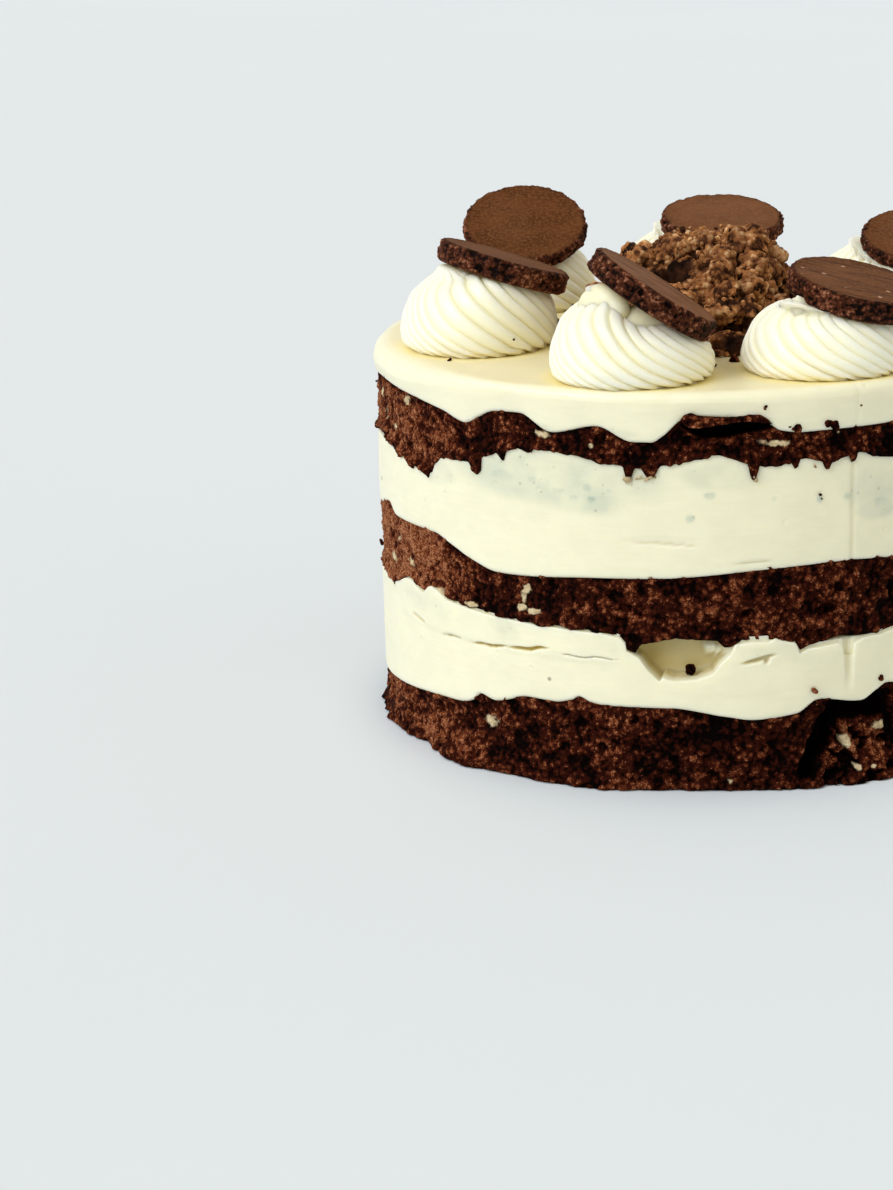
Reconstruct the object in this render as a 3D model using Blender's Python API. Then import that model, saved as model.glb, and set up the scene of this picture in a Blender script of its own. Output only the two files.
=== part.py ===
"""A 15 cm layer cake: three dark chocolate sponges with ivory cream between and on top, a ring
of seven piped cream swirls with a thin round biscuit stuck in each, and a heap of cake crumbs
in the middle. Metres, +Z up, the axis of the cake on Z and its underside on Z = 0."""

import math
from collections import namedtuple

import bmesh
import bpy
import numpy as np
from mathutils import Euler, Vector, noise

# ---- driving dimensions ----
MM = 0.001
CAKE_RADIUS = 75 * MM  # the scraped side of the cake
CAKE_TOP = 89.3 * MM  # the flat top of the cream
GAP = 0.3 * MM  # left between any two pieces
COLUMNS = 72  # upright edges round a layer, 5 degrees apart

SPONGE_INSET = 0.3 * MM  # a sponge's edges lie this far inside the side of the cake
SPONGE_BULGE = 0.3 * MM  # and its middle this far outside
CREAM_PROUD = 0.2 * MM
RIM_RADIUS = 76 * MM  # the top cream is the widest layer
RIM_DROP = 3 * MM  # height of the rounded rim

BISCUIT_RADIUS = 15.25 * MM
BISCUIT_BEVEL = 0.6 * MM
BISCUIT_SIDES = 28

FLUTES = 24  # ridges round a swirl
FLUTE_DEPTH = 0.042  # of the swirl's radius, each way
SWIRL_TWIST = math.radians(75)  # a ridge turns this far from the top to the foot
SWIRL_TUCK = 0.07  # the foot is drawn in by this share of the radius
SWIRL_RINGS = 8
SWIRL_CROWDING = 0.85  # below 1 the rings lie closer together near the peak

HEAP_HEIGHT = 24.5 * MM
HEAP_LEAN = 3.5 * MM  # the top of the heap lies this far to +X
HEAP_COLUMNS = 34
HEAP_RINGS = 9
HEAP_SHAPE = 2.2  # the power that rounds its profile
HEAP_LUMP = 4.5 * MM  # how far a lump stands out
HEAP_LUMP_SIZE = 7.5 * MM
HEAP_LUMP_LIFT = 20 * MM  # lumps grow away from a point this far below them
SWIRL_CLEARANCE = 0.7 * MM  # between the heap's foot and the swirls

# Crests and troughs of the line where two layers meet at the side: azimuth in degrees from the
# front (-Y), positive towards +X, and height in millimetres.
LOWER_SPONGE_TOP = [
    (-118, 12.5), (-83, 9.5), (-22, 20.0), (10, 16.5), (36, 21.3), (75, 17.0), (115, 20.0),
    (160, 14.5), (210, 18.0),
]
MIDDLE_SPONGE_FOOT = [
    (-105, 33.5), (-60, 38.2), (-35, 36.5), (-17, 36.0), (-7, 33.7), (12, 34.5), (27, 31.8),
    (60, 34.5), (95, 32.5), (140, 37.0), (185, 34.0), (220, 36.5),
]
MIDDLE_SPONGE_TOP = [
    (-130, 52.0), (-98, 49.5), (-72, 52.6), (-34, 46.4), (20, 50.6), (62, 47.5), (105, 52.0),
    (150, 48.0), (195, 46.5),
]
UPPER_SPONGE_FOOT = [
    (-105, 66.5), (-83, 67.4), (-56, 64.8), (-28, 75.1), (-9, 71.5), (3, 75.4), (16, 71.8),
    (28, 73.6), (38, 71.3), (70, 68.5), (110, 73.5), (150, 69.5), (190, 67.5), (230, 71.5),
]
UPPER_SPONGE_TOP = [
    (-98, 78.5), (-73, 82.8), (-43, 78.9), (-31, 82.9), (-24, 79.6), (-16, 81.6), (-8, 78.2),
    (-1, 84.3), (20, 79.5), (50, 81.0), (80, 79.0), (120, 82.5), (160, 79.5), (200, 82.0),
    (235, 79.5),
]
# How far the foot of the cake lies from its axis: azimuth and millimetres.
FOOT_OUTLINE = [
    (-110, 75.0), (-70, 76.0), (-42, 77.6), (-2, 73.8), (33, 78.6), (75, 75.5), (120, 77.0),
    (165, 74.5), (215, 76.5),
]
# How far the foot of the heap of crumbs spreads, where no swirl is in its way.
HEAP_OUTLINE = [(-75, 33.0), (14, 36.0), (82, 28.5), (150, 31.0), (215, 33.0)]
# Dents in the side: azimuth and half width in degrees, depth in millimetres.
CREAM_HOLLOW = (-2, 9, 5.0)  # the lower cream falls back below the middle sponge
HOLLOW_LIP = 27.5 * MM  # height of the hollow's lower edge
SPONGE_CAVITY = (23, 5, 4.0)  # a piece torn out of the lower sponge
CAVITY_LIP = 9 * MM
DENT_STEEPNESS = 1.6  # above 1 a dent has a flat floor

# A swirl's place, size and peak, and the centre, tilts and thickness of its biscuit. Azimuth in
# degrees, lengths in millimetres; right and forward tilt the biscuit's face towards +X and -Y, in
# degrees.
Swirl = namedtuple("Swirl", "azimuth ring radius height biscuit right forward thick")
SWIRLS = [
    Swirl(-70.6, 52.6, 18.0, 19.5, (-43.8, -16.0, 107.0), 17, -5.5, 5.0),
    Swirl(-13.6, 57.4, 17.7, 20.5, (-8.9, -56.0, 106.8), 33, -2.6, 5.0),
    Swirl(30.0, 56.2, 17.3, 16.5, (35.2, -47.0, 105.6), 13, 7, 5.0),
    Swirl(78.0, 56.0, 17.6, 18.0, (58.5, -9.0, 103.0), -20, 4, 4.6),
    Swirl(122.0, 56.0, 17.8, 17.0, (55.9, 29.0, 105.3), -1, 18, 3.6),
    Swirl(180.0, 56.0, 18.0, 17.5, (7.0, 54.0, 106.3), 2, 13, 4.2),
    Swirl(-131.0, 56.0, 17.8, 18.5, (-41.5, 33.0, 108.8), 3, 29, 3.6),
]


# ---- small tools ----
def around(azimuth, radius, height, centre=(0.0, 0.0)):
    """Points at these azimuths (radians from the front), radii and heights, as an (n, 3) array."""
    x = centre[0] + radius * np.sin(azimuth)
    y = centre[1] - radius * np.cos(azimuth)
    return np.column_stack([x, y, height + np.zeros_like(x)])


def loop_curve(points, degrees):
    """A closed curve through crests and troughs, each joined to the next by a smooth S."""
    start = points[0][0]
    where = np.array([p[0] for p in points] + [start + 360.0])
    value = np.array([p[1] for p in points] + [points[0][1]]) * MM
    turned = start + np.mod(degrees - start, 360.0)
    share = np.interp(turned, where, np.arange(len(where)))
    first = np.minimum(np.floor(share).astype(int), len(points) - 1)
    rise = share - first
    return value[first] + (value[first + 1] - value[first]) * rise**2 * (3 - 2 * rise)


def dent(shape, degrees):
    """How deep a dent is at each azimuth: full at its middle, nothing past its half width."""
    middle, half_width, depth = shape
    off = np.abs(np.mod(degrees - middle + 180.0, 360.0) - 180.0) / half_width
    return depth * MM * np.clip(DENT_STEEPNESS * (1 - off), 0.0, 1.0)


def stacked_rings(name, rings, low, high):
    """A closed skin over rings of points, lowest first, with a point to close each end."""
    mesh = bmesh.new()
    rows = [[mesh.verts.new(point) for point in ring] for ring in rings]
    count = len(rows[0])
    low_end = mesh.verts.new(low)
    high_end = mesh.verts.new(high)
    for i in range(count):
        j = (i + 1) % count
        for lower, upper in zip(rows, rows[1:]):
            mesh.faces.new((lower[i], lower[j], upper[j], upper[i]))
        mesh.faces.new((rows[0][j], rows[0][i], low_end))
        mesh.faces.new((rows[-1][i], rows[-1][j], high_end))
    return to_object(name, mesh)


def to_object(name, mesh):
    bmesh.ops.triangulate(mesh, faces=mesh.faces)
    bmesh.ops.recalc_face_normals(mesh, faces=mesh.faces)
    data = bpy.data.meshes.new(name)
    mesh.to_mesh(data)
    mesh.free()
    data.shade_smooth()
    data.set_sharp_from_angle(angle=math.radians(40))
    made = bpy.data.objects.new(name, data)
    bpy.context.scene.collection.objects.link(made)
    return made


def material(name, colour, roughness):
    made = bpy.data.materials.new(name)
    made.use_nodes = True
    shader = made.node_tree.nodes["Principled BSDF"]
    shader.inputs["Base Color"].default_value = (*colour, 1.0)
    shader.inputs["Roughness"].default_value = roughness
    shader.inputs["Metallic"].default_value = 0.0
    made.diffuse_color = (*colour, 1.0)
    return made


# ---- the layers ----
DEGREES = np.arange(COLUMNS) * 360.0 / COLUMNS


def layer(name, finish, rings):
    """A layer of the cake. Each ring is (radius, height); the two cut faces are slightly domed or
    dished, from the ring's own heights to their mean at the axis."""
    points = [around(np.radians(DEGREES), radius, height) for radius, height in rings]
    low = (0.0, 0.0, float(points[0][:, 2].mean()))
    high = (0.0, 0.0, float(points[-1][:, 2].mean()))
    made = stacked_rings(name, points, low, high)
    made.data.materials.append(finish)
    return made


def make_lower_sponge(finish):
    top = loop_curve(LOWER_SPONGE_TOP, DEGREES)
    foot = loop_curve(FOOT_OUTLINE, DEGREES)
    middle = 0.5 * (foot + CAKE_RADIUS) + SPONGE_BULGE - dent(SPONGE_CAVITY, DEGREES)
    middle_height = np.minimum(CAVITY_LIP, 0.6 * top)
    layer("sponge_bottom", finish, [
        (foot, 0.0),
        (middle, middle_height),
        (CAKE_RADIUS - SPONGE_INSET, top),
    ])


def make_lower_cream(finish):
    foot = loop_curve(LOWER_SPONGE_TOP, DEGREES) + GAP
    top = loop_curve(MIDDLE_SPONGE_FOOT, DEGREES) - GAP
    hollow = dent(CREAM_HOLLOW, DEGREES)
    side = CAKE_RADIUS + CREAM_PROUD
    layer("cream_lower", finish, [
        (side, foot),
        (side, np.minimum(HOLLOW_LIP, 0.5 * (foot + top))),
        (side - hollow, np.where(hollow > 0, top - 4 * MM, 0.2 * foot + 0.8 * top)),
        (side - hollow, top),
    ])


def make_middle_sponge(finish):
    foot = loop_curve(MIDDLE_SPONGE_FOOT, DEGREES)
    top = loop_curve(MIDDLE_SPONGE_TOP, DEGREES)
    layer("sponge_middle", finish, [
        (CAKE_RADIUS - SPONGE_INSET, foot),
        (CAKE_RADIUS + SPONGE_BULGE, 0.5 * (foot + top)),
        (CAKE_RADIUS - SPONGE_INSET, top),
    ])


def make_middle_cream(finish):
    foot = loop_curve(MIDDLE_SPONGE_TOP, DEGREES) + GAP
    top = loop_curve(UPPER_SPONGE_FOOT, DEGREES) - GAP
    side = CAKE_RADIUS + CREAM_PROUD
    layer("cream_middle", finish, [
        (side, foot),
        (side + CREAM_PROUD, 0.5 * (foot + top)),
        (side, top),
    ])


def make_upper_sponge(finish):
    foot = loop_curve(UPPER_SPONGE_FOOT, DEGREES)
    top = loop_curve(UPPER_SPONGE_TOP, DEGREES)
    layer("sponge_top", finish, [
        (CAKE_RADIUS - SPONGE_INSET, foot),
        (CAKE_RADIUS + SPONGE_BULGE, 0.5 * (foot + top)),
        (CAKE_RADIUS - SPONGE_INSET, top),
    ])


def make_top_cream(finish):
    foot = loop_curve(UPPER_SPONGE_TOP, DEGREES) + GAP
    layer("cream_top", finish, [
        (CAKE_RADIUS + CREAM_PROUD, foot),
        (RIM_RADIUS, CAKE_TOP - RIM_DROP),
        (RIM_RADIUS - 0.3 * RIM_DROP, CAKE_TOP - 0.3 * RIM_DROP),
        (RIM_RADIUS - RIM_DROP, CAKE_TOP),
    ])


# ---- swirls and biscuits ----
def swirl_centre(swirl):
    turn = math.radians(swirl.azimuth)
    return swirl.ring * MM * math.sin(turn), -swirl.ring * MM * math.cos(turn)


def biscuit_turn(swirl):
    return Euler((math.radians(swirl.forward), math.radians(swirl.right), 0.0))


def press_under(points, swirl):
    """Presses a swirl flat where its biscuit sits: no point lies above the biscuit's underside."""
    up = np.array(biscuit_turn(swirl).to_matrix() @ Vector((0.0, 0.0, 1.0)))
    centre = np.array(swirl.biscuit) * MM
    above = (points - centre) @ up + swirl.thick * MM / 2 + GAP
    points[:, 2] -= np.maximum(above, 0.0) / up[2]
    return points


def make_swirl(name, swirl, finish):
    """A piped dome. At angle a up from the foot its radius is R sqrt(cos a) and its height
    H sin a; the ridges turn with the height and fade towards the peak."""
    columns = 2 * FLUTES
    turn = np.arange(columns) * 2 * math.pi / columns
    ridge = np.where(np.arange(columns) % 2 == 0, 1.0, -1.0)
    centre = swirl_centre(swirl)
    rings = []
    for k in range(SWIRL_RINGS):
        rise = 0.5 * math.pi * (k / SWIRL_RINGS) ** SWIRL_CROWDING
        up = math.sin(rise)
        tuck = 1 - SWIRL_TUCK * max(0.0, 1 - 6 * up)
        depth = FLUTE_DEPTH * (1 - 0.5 * up)
        radius = swirl.radius * MM * math.sqrt(math.cos(rise)) * tuck * (1 + depth * ridge)
        height = CAKE_TOP + GAP + swirl.height * MM * up
        rings.append(around(turn + SWIRL_TWIST * (1 - up), radius, height, centre))
    peak = np.array([[*centre, CAKE_TOP + GAP + swirl.height * MM]])
    rings = [rings[0]] + [press_under(ring, swirl) for ring in rings[1:]]
    peak = press_under(peak, swirl)[0]
    made = stacked_rings(name, rings, (*centre, CAKE_TOP + GAP), tuple(peak))
    made.data.materials.append(finish)


def make_biscuit(name, swirl, finish):
    mesh = bmesh.new()
    bmesh.ops.create_cone(
        mesh, cap_ends=True, segments=BISCUIT_SIDES, radius1=BISCUIT_RADIUS,
        radius2=BISCUIT_RADIUS, depth=swirl.thick * MM,
    )
    rims = [edge for edge in mesh.edges if abs(edge.verts[0].co.z - edge.verts[1].co.z) < GAP]
    bmesh.ops.bevel(mesh, geom=rims, offset=BISCUIT_BEVEL, segments=1, affect="EDGES")
    made = to_object(name, mesh)
    made.location = Vector(swirl.biscuit) * MM
    made.rotation_euler = biscuit_turn(swirl)
    made.data.materials.append(finish)


# ---- the heap of crumbs ----
def heap_reach(turn, reach):
    """How far the heap's foot spreads at this azimuth: to its outline, or up to a swirl."""
    way = Vector((math.sin(turn), -math.cos(turn)))
    for swirl in SWIRLS:
        centre = Vector(swirl_centre(swirl))
        along = centre.dot(way)
        side = (centre - along * way).length
        clear = swirl.radius * MM * (1 + FLUTE_DEPTH) + SWIRL_CLEARANCE
        if along > 0 and side < clear:
            reach = min(reach, along - math.sqrt(clear**2 - side**2))
    return reach


def make_heap(finish):
    """A mound: at share s of the way from its middle to its foot the height is H (1 - s^p), with
    p the shape, and every point above the foot is pushed in or out by a lump."""
    turn = np.arange(HEAP_COLUMNS) * 2 * math.pi / HEAP_COLUMNS
    outline = loop_curve(HEAP_OUTLINE, np.degrees(turn))
    reach = np.array([heap_reach(*both) for both in zip(turn, outline)])
    foot = CAKE_TOP + GAP
    rings = []
    for k in range(HEAP_RINGS):
        share = 1 - (k / HEAP_RINGS) ** 1.1
        up = 1 - share**HEAP_SHAPE
        ring = around(turn, share * reach, foot + HEAP_HEIGHT * up, (HEAP_LEAN * up, 0.0))
        rings.append(ring)
    for ring in rings[1:]:
        for point in ring:
            lump = noise.noise(Vector(point) / HEAP_LUMP_SIZE)
            out = Vector((point[0], point[1], HEAP_LUMP_LIFT)).normalized()
            point += HEAP_LUMP * lump * np.array(out)
    peak = (HEAP_LEAN, 0.0, foot + HEAP_HEIGHT)
    made = stacked_rings("crumb_heap", rings, (0.0, 0.0, foot), peak)
    made.data.materials.append(finish)


def main():
    for old in list(bpy.data.objects):
        bpy.data.objects.remove(old, do_unlink=True)

    sponge = material("sponge", (0.075, 0.032, 0.020), 0.85)
    cream = material("cream", (0.90, 0.86, 0.68), 0.45)
    piped = material("piped_cream", (0.93, 0.89, 0.72), 0.45)
    biscuit = material("biscuit", (0.11, 0.055, 0.032), 0.70)
    crumbs = material("crumbs", (0.15, 0.080, 0.045), 0.90)

    make_lower_sponge(sponge)
    make_lower_cream(cream)
    make_middle_sponge(sponge)
    make_middle_cream(cream)
    make_upper_sponge(sponge)
    make_top_cream(cream)
    for number, swirl in enumerate(SWIRLS, start=1):
        make_swirl(f"swirl_{number}", swirl, piped)
        make_biscuit(f"biscuit_{number}", swirl, biscuit)
    make_heap(crumbs)


main()
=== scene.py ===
# %% [markdown]
# # A chocolate layer cake
# The real cake is three dark chocolate sponges with ivory cream between them and on top. Its
# side was scraped bare, so every layer shows. Seven piped swirls stand on it in a ring, each
# with a thin round biscuit stuck in, round a heap of cake crumbs.
#
# Nearly everything here is one idea: a surface is a grid of points, worked out by numpy from
# two numbers. Round a cake those are the azimuth and the way up the side. A grid is quick to
# make, its faces are even, and any bump or dent is one more term in a sum.

import math
from collections import namedtuple
from itertools import product

import bpy
import numpy as np
from mathutils import Euler, Matrix, Vector


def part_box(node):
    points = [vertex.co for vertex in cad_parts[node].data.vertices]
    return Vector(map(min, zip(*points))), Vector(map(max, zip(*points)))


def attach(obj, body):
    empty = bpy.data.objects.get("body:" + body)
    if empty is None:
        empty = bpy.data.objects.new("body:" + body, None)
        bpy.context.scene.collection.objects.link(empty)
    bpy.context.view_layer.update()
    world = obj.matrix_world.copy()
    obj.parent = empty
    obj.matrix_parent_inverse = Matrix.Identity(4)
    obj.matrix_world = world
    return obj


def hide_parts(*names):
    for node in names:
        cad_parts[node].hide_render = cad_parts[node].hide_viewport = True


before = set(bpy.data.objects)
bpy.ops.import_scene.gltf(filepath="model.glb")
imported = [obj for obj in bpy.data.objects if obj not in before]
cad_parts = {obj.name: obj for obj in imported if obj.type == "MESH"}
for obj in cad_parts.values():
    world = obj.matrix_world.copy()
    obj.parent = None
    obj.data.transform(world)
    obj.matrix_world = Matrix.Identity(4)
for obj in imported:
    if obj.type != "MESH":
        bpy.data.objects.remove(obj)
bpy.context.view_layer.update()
MM = 0.001
CAKE_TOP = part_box("cream_top")[1].z
SIDE_RADIUS = 75.0 * MM
RIM_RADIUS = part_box("cream_top")[1].x
print(f"top at {CAKE_TOP / MM:.1f} mm, rim radius {RIM_RADIUS / MM:.1f} mm")

# %% [markdown]
# ## Where we stand
# The camera looks slightly down on the cake from the front, and a little past its left side, so
# the cake fills the right of the view. A long lens keeps its side nearly straight. It is easier
# to set a camera from its own three directions than from three turns: forward from two angles,
# right level with the floor, up square to both, and then a small roll.

# %% The camera
scene = bpy.context.scene
CAMERA_PLACE = Vector((0.0, -632.8, 204.6)) * MM
TURNED_LEFT, LOOKING_DOWN, ROLLED = 0.0951, 0.2771, -0.0277  # radians
FOCAL_LENGTH = 81.8  # millimetres, on a sensor 36 mm wide


def camera_turn(left, down, roll):
    """The turn whose columns are the camera's right, up and backward directions."""
    ahead = Vector((-math.sin(left) * math.cos(down), math.cos(left) * math.cos(down),
                    -math.sin(down)))
    right = Vector((math.cos(left), math.sin(left), 0.0))
    up = right.cross(ahead)
    rolled_right = math.cos(roll) * right + math.sin(roll) * up
    rolled_up = math.cos(roll) * up - math.sin(roll) * right
    return Matrix((rolled_right, rolled_up, -ahead)).transposed()


camera_data = bpy.data.cameras.new("camera")
camera_data.lens = FOCAL_LENGTH
camera_data.clip_start, camera_data.clip_end = 0.05, 20.0
camera = bpy.data.objects.new("camera", camera_data)
camera.location = CAMERA_PLACE
camera.rotation_mode = "QUATERNION"
camera.rotation_quaternion = camera_turn(TURNED_LEFT, LOOKING_DOWN, ROLLED).to_quaternion()
scene.collection.objects.link(camera)
scene.camera = camera
print("camera at", [round(value, 3) for value in camera.location])

# %% [markdown]
# ## From arrays to meshes
# Every surface below is an array of rows of points. `skin` turns it into a closed mesh: each
# row is a ring round the piece, each two rings are joined by four-cornered faces, and a fan of
# triangles to one middle point closes each end. Numbers that belong to the points, such as how
# deep a point lies in the crumb, ride along as attributes, and the materials read them. Hundreds
# of crumbs are too many for hundreds of objects, so `skins` makes many closed shapes one piece.

# %% Points and faces to an object
def to_mesh(name, points, faces, finish, values):
    """Makes an object from points and faces. Faces is a list of arrays, one for each number of
    corners. Values is {attribute name: one number for each point}."""
    data = bpy.data.meshes.new(name)
    corners = np.concatenate([part.ravel() for part in faces])
    sizes = np.concatenate([np.full(len(part), part.shape[1]) for part in faces])
    data.vertices.add(len(points))
    data.vertices.foreach_set("co", np.asarray(points, np.float32).ravel())
    data.loops.add(len(corners))
    data.loops.foreach_set("vertex_index", corners.astype(np.int32))
    data.polygons.add(len(sizes))
    starts = np.concatenate([[0], np.cumsum(sizes)[:-1]])
    data.polygons.foreach_set("loop_start", starts.astype(np.int32))
    data.polygons.foreach_set("use_smooth", np.ones(len(sizes), bool))
    for attribute, numbers in values.items():
        held = data.attributes.new(attribute, "FLOAT", "POINT")
        held.data.foreach_set("value", np.asarray(numbers, np.float32).ravel())
    data.update(calc_edges=True)
    data.validate()
    data.materials.append(finish)
    made = bpy.data.objects.new(name, data)
    scene.collection.objects.link(made)
    return made


# %% Rings to a closed skin
def full_turn(columns):
    """The azimuths of a ring's columns, in radians."""
    return np.arange(columns) / columns * 2 * math.pi


def ring_faces(rows, columns):
    """The four-cornered faces between rings, each ring closed on itself, facing outwards where
    the rows run upwards and the columns anticlockwise."""
    row, column = np.meshgrid(np.arange(rows - 1), np.arange(columns), indexing="ij")
    beside = (column + 1) % columns
    low, high = row * columns, (row + 1) * columns
    return np.stack([low + column, low + beside, high + beside, high + column], -1).reshape(-1, 4)


def skins(name, shapes, finish, values):
    """Many closed shapes of (shape, row, column, 3) as one piece. In each, the rings run lowest
    first, and each end is closed at its ring's mean. Values are (shape, row, column)."""
    count, rows, columns = shapes.shape[:3]
    column = np.arange(columns)
    beside, last = (column + 1) % columns, (rows - 1) * columns
    low = np.stack([beside, column, np.full(columns, rows * columns)], -1)
    high = np.stack([last + column, last + beside, np.full(columns, rows * columns + 1)], -1)
    first = (np.arange(count) * (rows * columns + 2))[:, None, None]
    faces = [(part[None] + first).reshape(-1, part.shape[1])
             for part in (ring_faces(rows, columns), np.concatenate([low, high]))]
    points = np.concatenate([shapes.reshape(count, -1, 3), shapes[:, [0, -1]].mean(axis=2)], 1)
    held = {attribute: np.concatenate([numbers.reshape(count, -1),
                                       numbers[:, [0, -1]].mean(axis=2)], 1)
            for attribute, numbers in values.items()}
    return to_mesh(name, points.reshape(-1, 3), faces, finish, held)


def skin(name, rings, finish, values):
    """One closed shape as a piece."""
    one = {attribute: numbers[None] for attribute, numbers in values.items()}
    return skins(name, rings[None], finish, one)


print("between two rings of 12 points there are", len(ring_faces(2, 12)), "faces")


# %% What a piece stands for
def finish_piece(piece, slot, *nodes):
    """Names the piece's body and hides the solids that it stands for. The slot is not used."""
    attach(piece, "root")
    if nodes:
        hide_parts(*nodes)
    print(f"{piece.name}: {len(piece.data.polygons)} faces")


# %% [markdown]
# ## Noise
# Cake is made of accidents, so nearly every surface needs noise. Two kinds are enough. Soft
# noise gives each corner of a grid of cubes a fixed random number, and blends between the
# corners. Cell noise puts one random point in each cube, and measures how far the nearest one
# is: that makes grains, crumbs and pores. The random numbers come from mixing the bits of the
# corner's own coordinates, so the same place always gets the same number.

# %% Soft noise
def corner_number(cell, seed):
    """A number from 0 to 1 for each whole-number corner, always the same for the same corner."""
    cell = cell.astype(np.int64)
    mixed = cell[..., 0] * 73856093 ^ cell[..., 1] * 19349663 ^ cell[..., 2] * 83492791
    mixed = (mixed ^ (seed * 40503 + 9176)) & 0xFFFFFFFF
    for shift, factor in ((15, 0x2C1B3C6D), (12, 0x297A2D39)):
        mixed = ((mixed ^ (mixed >> shift)) * factor) & 0xFFFFFFFF
    return (mixed ^ (mixed >> 15)) / 4294967295.0


def soft_noise(points, size, seed):
    """Smooth noise from -1 to 1, with features about as large as size: the random numbers of a
    cube's eight corners, blended along each side by 3s^2 - 2s^3."""
    place = points / size
    cell = np.floor(place)
    share = place - cell
    share = share * share * (3 - 2 * share)
    total = np.zeros(points.shape[:-1])
    for corner in np.array(list(product((0, 1), repeat=3))):
        weight = np.prod(np.where(corner == 1, share, 1 - share), axis=-1)
        total += weight * corner_number(cell + corner, seed)
    return 2 * total - 1


def layered_noise(points, size, seed, layers=3):
    """Soft noise with finer noise added: each layer is half the size and half the height."""
    total = sum(soft_noise(points, size / 2**k, seed + 31 * k) / 2**k for k in range(layers))
    return total / (2 - 2 / 2**layers)


sample = np.random.default_rng(1).uniform(0, 0.1, (2000, 3))
print(f"soft noise spread {soft_noise(sample, 5 * MM, 1).std():.2f}")


# %% Cell noise
def cell_noise(points, size, seed):
    """(distance to the nearest seed point, a number from 0 to 1 that belongs to that point).
    The distance is in units of size, and there is one seed point in each cube."""
    place = points / size
    cell = np.floor(place)
    nearest = np.full(points.shape[:-1], 9.0)
    owner = np.zeros(points.shape[:-1])
    for step in product((-1, 0, 1), repeat=3):
        near = cell + np.array(step)
        offset = np.stack([corner_number(near, seed + k) for k in range(3)], axis=-1)
        gap = np.linalg.norm(near + offset - place, axis=-1)
        owner = np.where(gap < nearest, corner_number(near, seed + 7), owner)
        nearest = np.minimum(nearest, gap)
    return nearest, owner


print(f"mean cell distance {cell_noise(sample, 5 * MM, 1)[0].mean():.2f}")


# %% A smooth step
def ease(value, low, high):
    """0 below low, 1 above high, and 3s^2 - 2s^3 between. Low may lie above high."""
    share = np.clip((value - low) / (high - low), 0.0, 1.0)
    return share * share * (3 - 2 * share)


print(f"a quarter of the way, the step has risen by {ease(0.25, 0.0, 1.0):.2f}")

# %% [markdown]
# ## Soft light
# The cake is lit as by one large window on the left: bright on the left side, darker and warmer
# on the right, with no hard shadow anywhere. A sun whose disc is very wide gives that, and
# lights the whole floor evenly, which a lamp close by would not. The sky's plain warm light
# fills the shadows.

# %% Light
SKY_COLOUR, SKY_STRENGTH = (1.0, 0.95, 0.83, 1.0), 0.68
WINDOW_COLOUR, WINDOW_STRENGTH = (0.87, 0.92, 1.0), 2.10
# Degrees: azimuth from the front, positive to the right; height above the floor; and the angle
# that the sun's disc takes up, which softens the shadows.
WINDOW_AZIMUTH, WINDOW_HEIGHT, WINDOW_WIDTH = -50, 40, 40
scene.view_settings.view_transform = "Standard"
world = bpy.data.worlds.new("sky")
world.use_nodes = True
sky = world.node_tree.nodes["Background"].inputs
sky["Color"].default_value, sky["Strength"].default_value = SKY_COLOUR, SKY_STRENGTH
scene.world = world
turn, up = math.radians(WINDOW_AZIMUTH), math.radians(WINDOW_HEIGHT)
light = bpy.data.lights.new("window", "SUN")
light.energy, light.color, light.angle = (
    WINDOW_STRENGTH, WINDOW_COLOUR, math.radians(WINDOW_WIDTH))
window = bpy.data.objects.new("window", light)
source = Vector((math.sin(turn) * math.cos(up), -math.cos(turn) * math.cos(up), math.sin(up)))
window.rotation_euler = source.to_track_quat("Z", "Y").to_euler()
scene.collection.objects.link(window)
print(f"window light from {WINDOW_AZIMUTH} degrees, {WINDOW_HEIGHT} up, {WINDOW_WIDTH} wide")

# %% [markdown]
# ## Mixing finishes from nodes
# A material is a small network: patterns go in, and colour, roughness and a bump come out. A few
# helpers keep the networks short. `node` adds one node and fills in its sockets, `mixed` blends
# two colours, `worked` does sums, and `group` makes a network that several materials share.
# The patterns read Object coordinates, so sizes in them are real ones.

# %% Nodes, colours and sums
def node(tree, kind, settings=None, **sockets):
    """Adds a node. Settings are its own options. A socket's name has _ for each space, and it
    gets either a value or a link from another node's output."""
    made = tree.nodes.new("ShaderNode" + kind)
    for key, value in (settings or {}).items():
        setattr(made, key, value)
    for key, value in sockets.items():
        fill(tree, made.inputs[key.replace("_", " ")], value)
    return made


def fill(tree, socket, value):
    """Puts a value or a link into a socket. A colour may come without its fourth number."""
    if isinstance(value, bpy.types.NodeSocket):
        tree.links.new(value, socket)
    elif socket.type == "RGBA" and len(value) == 3:
        socket.default_value = (*value, 1.0)
    else:
        socket.default_value = value


def mixed(tree, share, first, second):
    """The first colour where the share is 0, and the second where it is 1."""
    made = node(tree, "Mix", {"data_type": "RGBA"})
    for index, value in ((0, share), (6, first), (7, second)):
        fill(tree, made.inputs[index], value)
    return made.outputs[2]


def worked(tree, operation, first, second=0.0, third=0.0):
    """The result of one sum on numbers or links."""
    made = node(tree, "Math", {"operation": operation})
    for index, value in enumerate((first, second, third)):
        fill(tree, made.inputs[index], value)
    return made.outputs[0]


def stepped(tree, value, low, high):
    """0 where the value is below low, 1 above high, and smooth between."""
    return node(tree, "MapRange", {"interpolation_type": "SMOOTHSTEP"}, Value=value,
                From_Min=low, From_Max=high).outputs[0]


# %% Places, patterns, and numbers that the mesh holds
def place(tree):
    """Where a point lies on its object, in metres."""
    return node(tree, "TexCoord").outputs["Object"]


def noise(tree, size, detail=2.0, vector=None):
    """Noise from 0 to 1, with features of this size in metres."""
    linked = isinstance(size, bpy.types.NodeSocket)
    return node(tree, "TexNoise", Vector=vector or place(tree), Detail=detail,
                Scale=worked(tree, "DIVIDE", 1.0, size) if linked else 1 / size).outputs["Fac"]


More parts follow.
